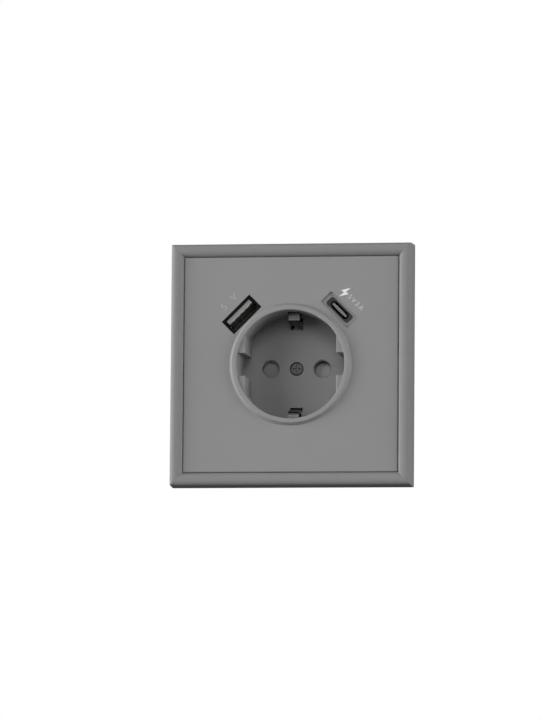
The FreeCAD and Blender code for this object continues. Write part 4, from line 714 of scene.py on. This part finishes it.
# %% [markdown]
# ## What repeats
#
# Solder joints, chip parts and the crests of a thread are one small shape repeated along a line.
# They could be copied in a loop, but Geometry Nodes do it in one tree: a mesh line gives the
# places, a small shape is put on each, and the copies are made real at the end, with their
# material set in the tree. The sizes are inputs of the tree, so one tree serves every row of its
# shape.

# %% A tree that repeats one shape along a line
TREE_INPUTS = [("Geometry", "Geometry"), ("Count", "Int"), ("Start", "Vector"),
               ("Step", "Vector"), ("Radius", "Float"), ("Thickness", "Float"),
               ("Turn", "Vector"), ("Material", "Material")]


def repeat_tree(name, build_shape):
    """Copies of one shape, from Start, Step apart, Count times, in one material."""
    tree = bpy.data.node_groups.new(name, "GeometryNodeTree")
    for label, kind in TREE_INPUTS:
        tree.interface.new_socket(label, in_out="INPUT", socket_type="NodeSocket" + kind)
    tree.interface.new_socket("Geometry", in_out="OUTPUT", socket_type="NodeSocketGeometry")
    entry, leaving = [tree.nodes.new("NodeGroup" + end) for end in ("Input", "Output")]
    given = {label: Wire(tree, entry.outputs[label]) for label, _ in TREE_INPUTS}
    shape = build_shape(given["Radius"], given["Thickness"])
    line = shape.node("GeometryNodeMeshLine", {"mode": "OFFSET"},
                      {"Count": given["Count"], "Start Location": given["Start"],
                       "Offset": given["Step"]})
    copies = line.node("GeometryNodeInstanceOnPoints", None,
                       {"Points": line, "Instance": shape, "Rotation": given["Turn"]})
    real = copies.node("GeometryNodeRealizeInstances", None, {0: copies})
    coloured = real.node("GeometryNodeSetMaterial", None,
                         {"Geometry": real, "Material": given["Material"]})
    tree.links.new(coloured.socket, leaving.inputs[0])
    print(name, "nodes:", len(tree.nodes))
    return tree


# %% Plain meshes from a tree
def repeated(tree, **given):
    """The plain mesh that the tree makes with these sizes and this material."""
    source = object_from("repeat_source", bpy.data.meshes.new("repeat_source"))
    modifier = source.modifiers.new("repeat", "NODES")
    modifier.node_group = tree
    for item in tree.interface.items_tree:
        if item.in_out == "INPUT" and item.name in given:
            modifier[item.identifier] = given[item.name]
    depsgraph = bpy.context.evaluated_depsgraph_get()
    mesh = bpy.data.meshes.new_from_object(source.evaluated_get(depsgraph))
    bpy.data.objects.remove(source)
    return mesh


def merged(name, meshes):
    """One object from several plain meshes that share a material."""
    shape = bmesh.new()
    for mesh in meshes:
        shape.from_mesh(mesh)
    bmesh.ops.recalc_face_normals(shape, faces=shape.faces)
    whole = bpy.data.meshes.new(name)
    shape.to_mesh(whole)
    shape.free()
    whole.materials.append(meshes[0].materials[0])
    return object_from(name, whole)


# %% [markdown]
# ## Solder joints
#
# Every lead that comes through the power board ends in a small blob of solder on its back. It
# could be shaped round its lead, but at this size a cone with a narrow top is all that shows of
# it. The rows start from the solids themselves, so the joints stay with the pins, the cans and
# the transformer.

# %% Solder joints on the power board
LINK_PITCH = 2.54 * MM
SOLDER_RADIUS, SOLDER_HEIGHT, SOLDER_TOP = 0.8 * MM, 0.7 * MM, 0.3
JOINT_CORNERS, JOINT_STEPS = 14, 3
LEG_PLACE, LEG_RISE = 0.8, 2 * MM      # share of the transformer's half width, and height on it
TURN_TO_BACK = (math.radians(-90), 0.0, 0.0)


def joint_shape(radius, thickness):
    """A solder joint: a low cone with a round foot."""
    return radius.node("GeometryNodeMeshCone", None,
                       {"Vertices": JOINT_CORNERS, "Side Segments": JOINT_STEPS,
                        "Radius Bottom": radius, "Radius Top": radius * SOLDER_TOP,
                        "Depth": thickness})


power_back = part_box("power_board")[1].y
link_low, link_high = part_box("link_pins")
link_z = (link_low.z + link_high.z) / 2
rows = [(4, (-1.5 * LINK_PITCH, power_back, link_z), (LINK_PITCH, 0, 0))]
for can in CANS:
    low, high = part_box(can)
    middle = (low + high) / 2
    rows.append((2, (middle.x, power_back, middle.z - LINK_PITCH / 2), (0, 0, LINK_PITCH)))
core_low, core_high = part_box("transformer")
for side in (-1, 1):
    leg = (core_high.x * LEG_PLACE * side, power_back, core_low.z + LEG_RISE)
    rows.append((3, leg, (0, 0, LINK_PITCH)))

joint_tree = repeat_tree("joints_along_a_line", joint_shape)
solder = rolled_metal("solder", (0.60, 0.60, 0.61, 1), 0.3)
finish_piece(merged("solder_joints", [
    repeated(joint_tree, Count=count, Start=start, Step=step, Radius=SOLDER_RADIUS,
             Thickness=SOLDER_HEIGHT, Turn=TURN_TO_BACK, Material=solder)
    for count, start, step in rows]), "socket")

# %% [markdown]
# ## Chip parts
#
# Between the joints sit small chip parts, resistors and the like, which are plain blocks a
# millimetre or two long. They are too small to show more than their outline, so each is one
# block, and three short rows of them come from the same kind of tree.

# %% Chip parts on the power board
CHIP_LENGTH, CHIP_HEIGHT = 1.6 * MM, 0.5 * MM


def block_shape(radius, thickness):
    """A small flat block, twice as long as it is wide."""
    size = radius.node("ShaderNodeCombineXYZ", None,
                       {"X": radius * 2.0, "Y": radius, "Z": thickness})
    return size.node("GeometryNodeMeshCube", None, {"Size": size}, output="Mesh")


chip_y = power_back + CHIP_HEIGHT / 2
chip_rows = [(4, (-4.5 * MM, chip_y, 11.0 * MM), (3.0 * MM, 0, 0)),
             (3, (-7.0 * MM, chip_y, 3.0 * MM), (0, 0, 2.2 * MM)),
             (3, (7.0 * MM, chip_y, 3.0 * MM), (0, 0, 2.2 * MM))]
block_tree = repeat_tree("blocks_along_a_line", block_shape)
finish_piece(merged("chip_parts", [
    repeated(block_tree, Count=count, Start=start, Step=step, Radius=CHIP_LENGTH / 2,
             Thickness=CHIP_HEIGHT, Turn=TURN_TO_BACK, Material=chip_plastic)
    for count, start, step in chip_rows]), "socket")

# %% [markdown]
# ## Threads
#
# The shanks of the solids are plain cylinders of the thread's outer size. A real thread is one
# long helix, but on a screw this small its crests look like rings, and rings are far lighter to
# make: a small square on its corner, swept round a circle and repeated at the thread's pitch.

# %% Rings round a shank
THREAD_PITCH, CREST = 0.5 * MM, 0.11 * MM
RING_STEPS, CREST_CORNERS = 24, 4
AXIS_Y, AXIS_Z = 1, 2


def ring_shape(radius, thickness):
    """A thin torus: a small square, set on its corner, swept round a circle."""
    path = radius.node("GeometryNodeCurvePrimitiveCircle", None,
                       {"Resolution": RING_STEPS, "Radius": radius})
    section = radius.node("GeometryNodeCurvePrimitiveCircle", None,
                          {"Resolution": CREST_CORNERS, "Radius": thickness})
    return path.node("GeometryNodeCurveToMesh", None, {"Curve": path, "Profile Curve": section})


ring_tree = repeat_tree("rings_along_a_line", ring_shape)


def thread_rings(centre, start, end, radius, axis, material):
    """Rings round a shank along Y or Z, between two places on that axis."""
    first, step = list(centre), [0.0, 0.0, 0.0]
    first[axis], step[axis] = start + THREAD_PITCH / 2, THREAD_PITCH
    turn = (math.radians(90), 0.0, 0.0) if axis == AXIS_Y else (0.0, 0.0, 0.0)
    return repeated(ring_tree, Count=int((end - start) / THREAD_PITCH), Start=first, Step=step,
                    Radius=radius, Thickness=CREST, Turn=turn, Material=material)


# %% [markdown]
# ## Where the threads go
#
# Each screw is a solid with a head and a shank. The box of the solid gives its length and its
# middle, and the two numbers beside its name give the radius of the shank and the height of the
# head, where the thread stops. The screws of one node stand at equal distances left and right.

# %% Thread on the cover screw
COVER_SCREW = (1.5 * MM, 1.9 * MM)      # shank radius and head height
CLAMP_SCREW = (1.75 * MM, 1.8 * MM)
CARRIER_SCREW = (0.9 * MM, 0.7 * MM)
HOUSING_SCREW = (1.1 * MM, 1.2 * MM)

shank, head = COVER_SCREW
low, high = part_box("cover_screw")
finish_piece(merged("cover_screw_thread", [
    thread_rings((low + high) / 2, low.y + head, high.y, shank, AXIS_Y, dark_screw)]),
    "socket")

# %% Threads on the screws behind the plate
threads = []
shank, head = CLAMP_SCREW
for name in ("live_screw", "earth_screw", "neutral_screw"):
    low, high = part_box(name)
    threads.append(thread_rings((low + high) / 2, low.z + head, high.z, shank,
                                AXIS_Z, zinc_screw))
for name, (shank, head), head_at_back in (("carrier_screws", CARRIER_SCREW, False),
                                          ("housing_screws", HOUSING_SCREW, True)):
    low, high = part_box(name)
    head_radius = (high.z - low.z) / 2
    start = low.y if head_at_back else low.y + head
    end = high.y - head if head_at_back else high.y
    for side in (-1, 1):
        centre = (side * (high.x - head_radius), 0.0, (low.z + high.z) / 2)
        threads.append(thread_rings(centre, start, end, shank, AXIS_Y, zinc_screw))
finish_piece(merged("screw_threads", threads), "socket")

# %% [markdown]
# ## The surroundings
#
# The picture has a plain white background. A bright world would give one, but it would also
# flood the object with light from all sides. So the world is white only for rays that come from
# the camera or from a reflection, and a faint part of that for rays that light the object.

# %% World
AMBIENT = 0.07


def light_path(tree):
    """1 for rays that see the surroundings, 0 for rays that light the object."""
    rays = Wire(tree).node("ShaderNodeLightPath").socket.node.outputs
    camera_ray, glossy_ray, clear_ray = [
        Wire(tree, rays["Is %s Ray" % kind]) for kind in ("Camera", "Glossy", "Transmission")]
    seen = camera_ray + glossy_ray + clear_ray
    return seen.maths("MINIMUM", seen, 1.0)


world = bpy.data.worlds.new("surroundings")
world.use_nodes = True
bpy.context.scene.world = world
tone = mix_colours(light_path(world.node_tree), grey(AMBIENT), grey(1.0))
world.node_tree.links.new(tone.socket, world.node_tree.nodes["Background"].inputs["Color"])
print("share of white that lights the object:", AMBIENT)

# %% [markdown]
# ## Lamps
#
# The light is soft and plain. It could come from one large lamp in front, but then the bead of
# the frame and the rim would hardly show. So two lamps stand far round to the sides and graze the
# plate, the left one the stronger. A weaker one on the left and one in front fill the face, and a
# wide one behind lights the back. Each has a bearing, a height angle, a level and a size. Level 1
# lights a surface that faces the lamp as much as full white, so that a colour renders as it is
# written, and the power follows from the distance.

# %% Lamps
LAMP_DISTANCE = 2.2


def soft_lamp(name, bearing, rise, level, size):
    """A square lamp that faces the object, with its angles in degrees."""
    towards = direction(math.radians(bearing), math.radians(rise))
    lamp = bpy.data.lights.new(name, "AREA")
    lamp.shape, lamp.size = "SQUARE", size
    lamp.energy = level * math.pi ** 2 * LAMP_DISTANCE ** 2
    holder = bpy.data.objects.new(name, lamp)
    bpy.context.scene.collection.objects.link(holder)
    holder.location = towards * LAMP_DISTANCE
    holder.rotation_mode = "QUATERNION"
    holder.rotation_quaternion = (-towards).to_track_quat("-Z", "Y")
    holder.visible_camera = False
    print(name, "power in W:", round(lamp.energy, 1))


soft_lamp("side_lamp", -82, 3, 1.5, 1.4)
soft_lamp("left_lamp", -48, 8, 0.45, 1.2)
soft_lamp("right_lamp", 72, 4, 0.72, 1.2)
soft_lamp("front_lamp", 6, 17, 0.27, 0.8)
soft_lamp("back_lamp", 172, 12, 0.6, 4.2)

# %% [markdown]
# ## The floor
#
# A plain pale floor lies far below the socket, which hangs as it would on a wall. Like the
# world it is pale to the camera and in reflections, and glows there, so that it comes near the
# white background. To the rays that light the object it is nearly black, and so it throws hardly
# any light up at the frame.

# %% Floor
FLOOR_LEVEL = -1.4
FLOOR_HALF = 12.0
floor_mesh = bpy.data.meshes.new("floor")
corners = [(x * FLOOR_HALF, y * FLOOR_HALF, FLOOR_LEVEL)
           for x, y in ((-1, -1), (1, -1), (1, 1), (-1, 1))]
floor_mesh.from_pydata(corners, [], [(0, 1, 2, 3)])
object_from("floor", floor_mesh)

floor_paint, floor_shader, _ = new_material("floor_paint", 0.8)
seen = light_path(floor_paint.node_tree)
feed(floor_shader, "Base Color", mix_colours(seen, grey(0.05), grey(0.6)))
feed(floor_shader, "Emission Color", mix_colours(seen, grey(0.0), grey(0.8)))
floor_shader.inputs["Emission Strength"].default_value = 1.0
floor_mesh.materials.append(floor_paint)
print("floor at z in m:", FLOOR_LEVEL)

# %% [markdown]
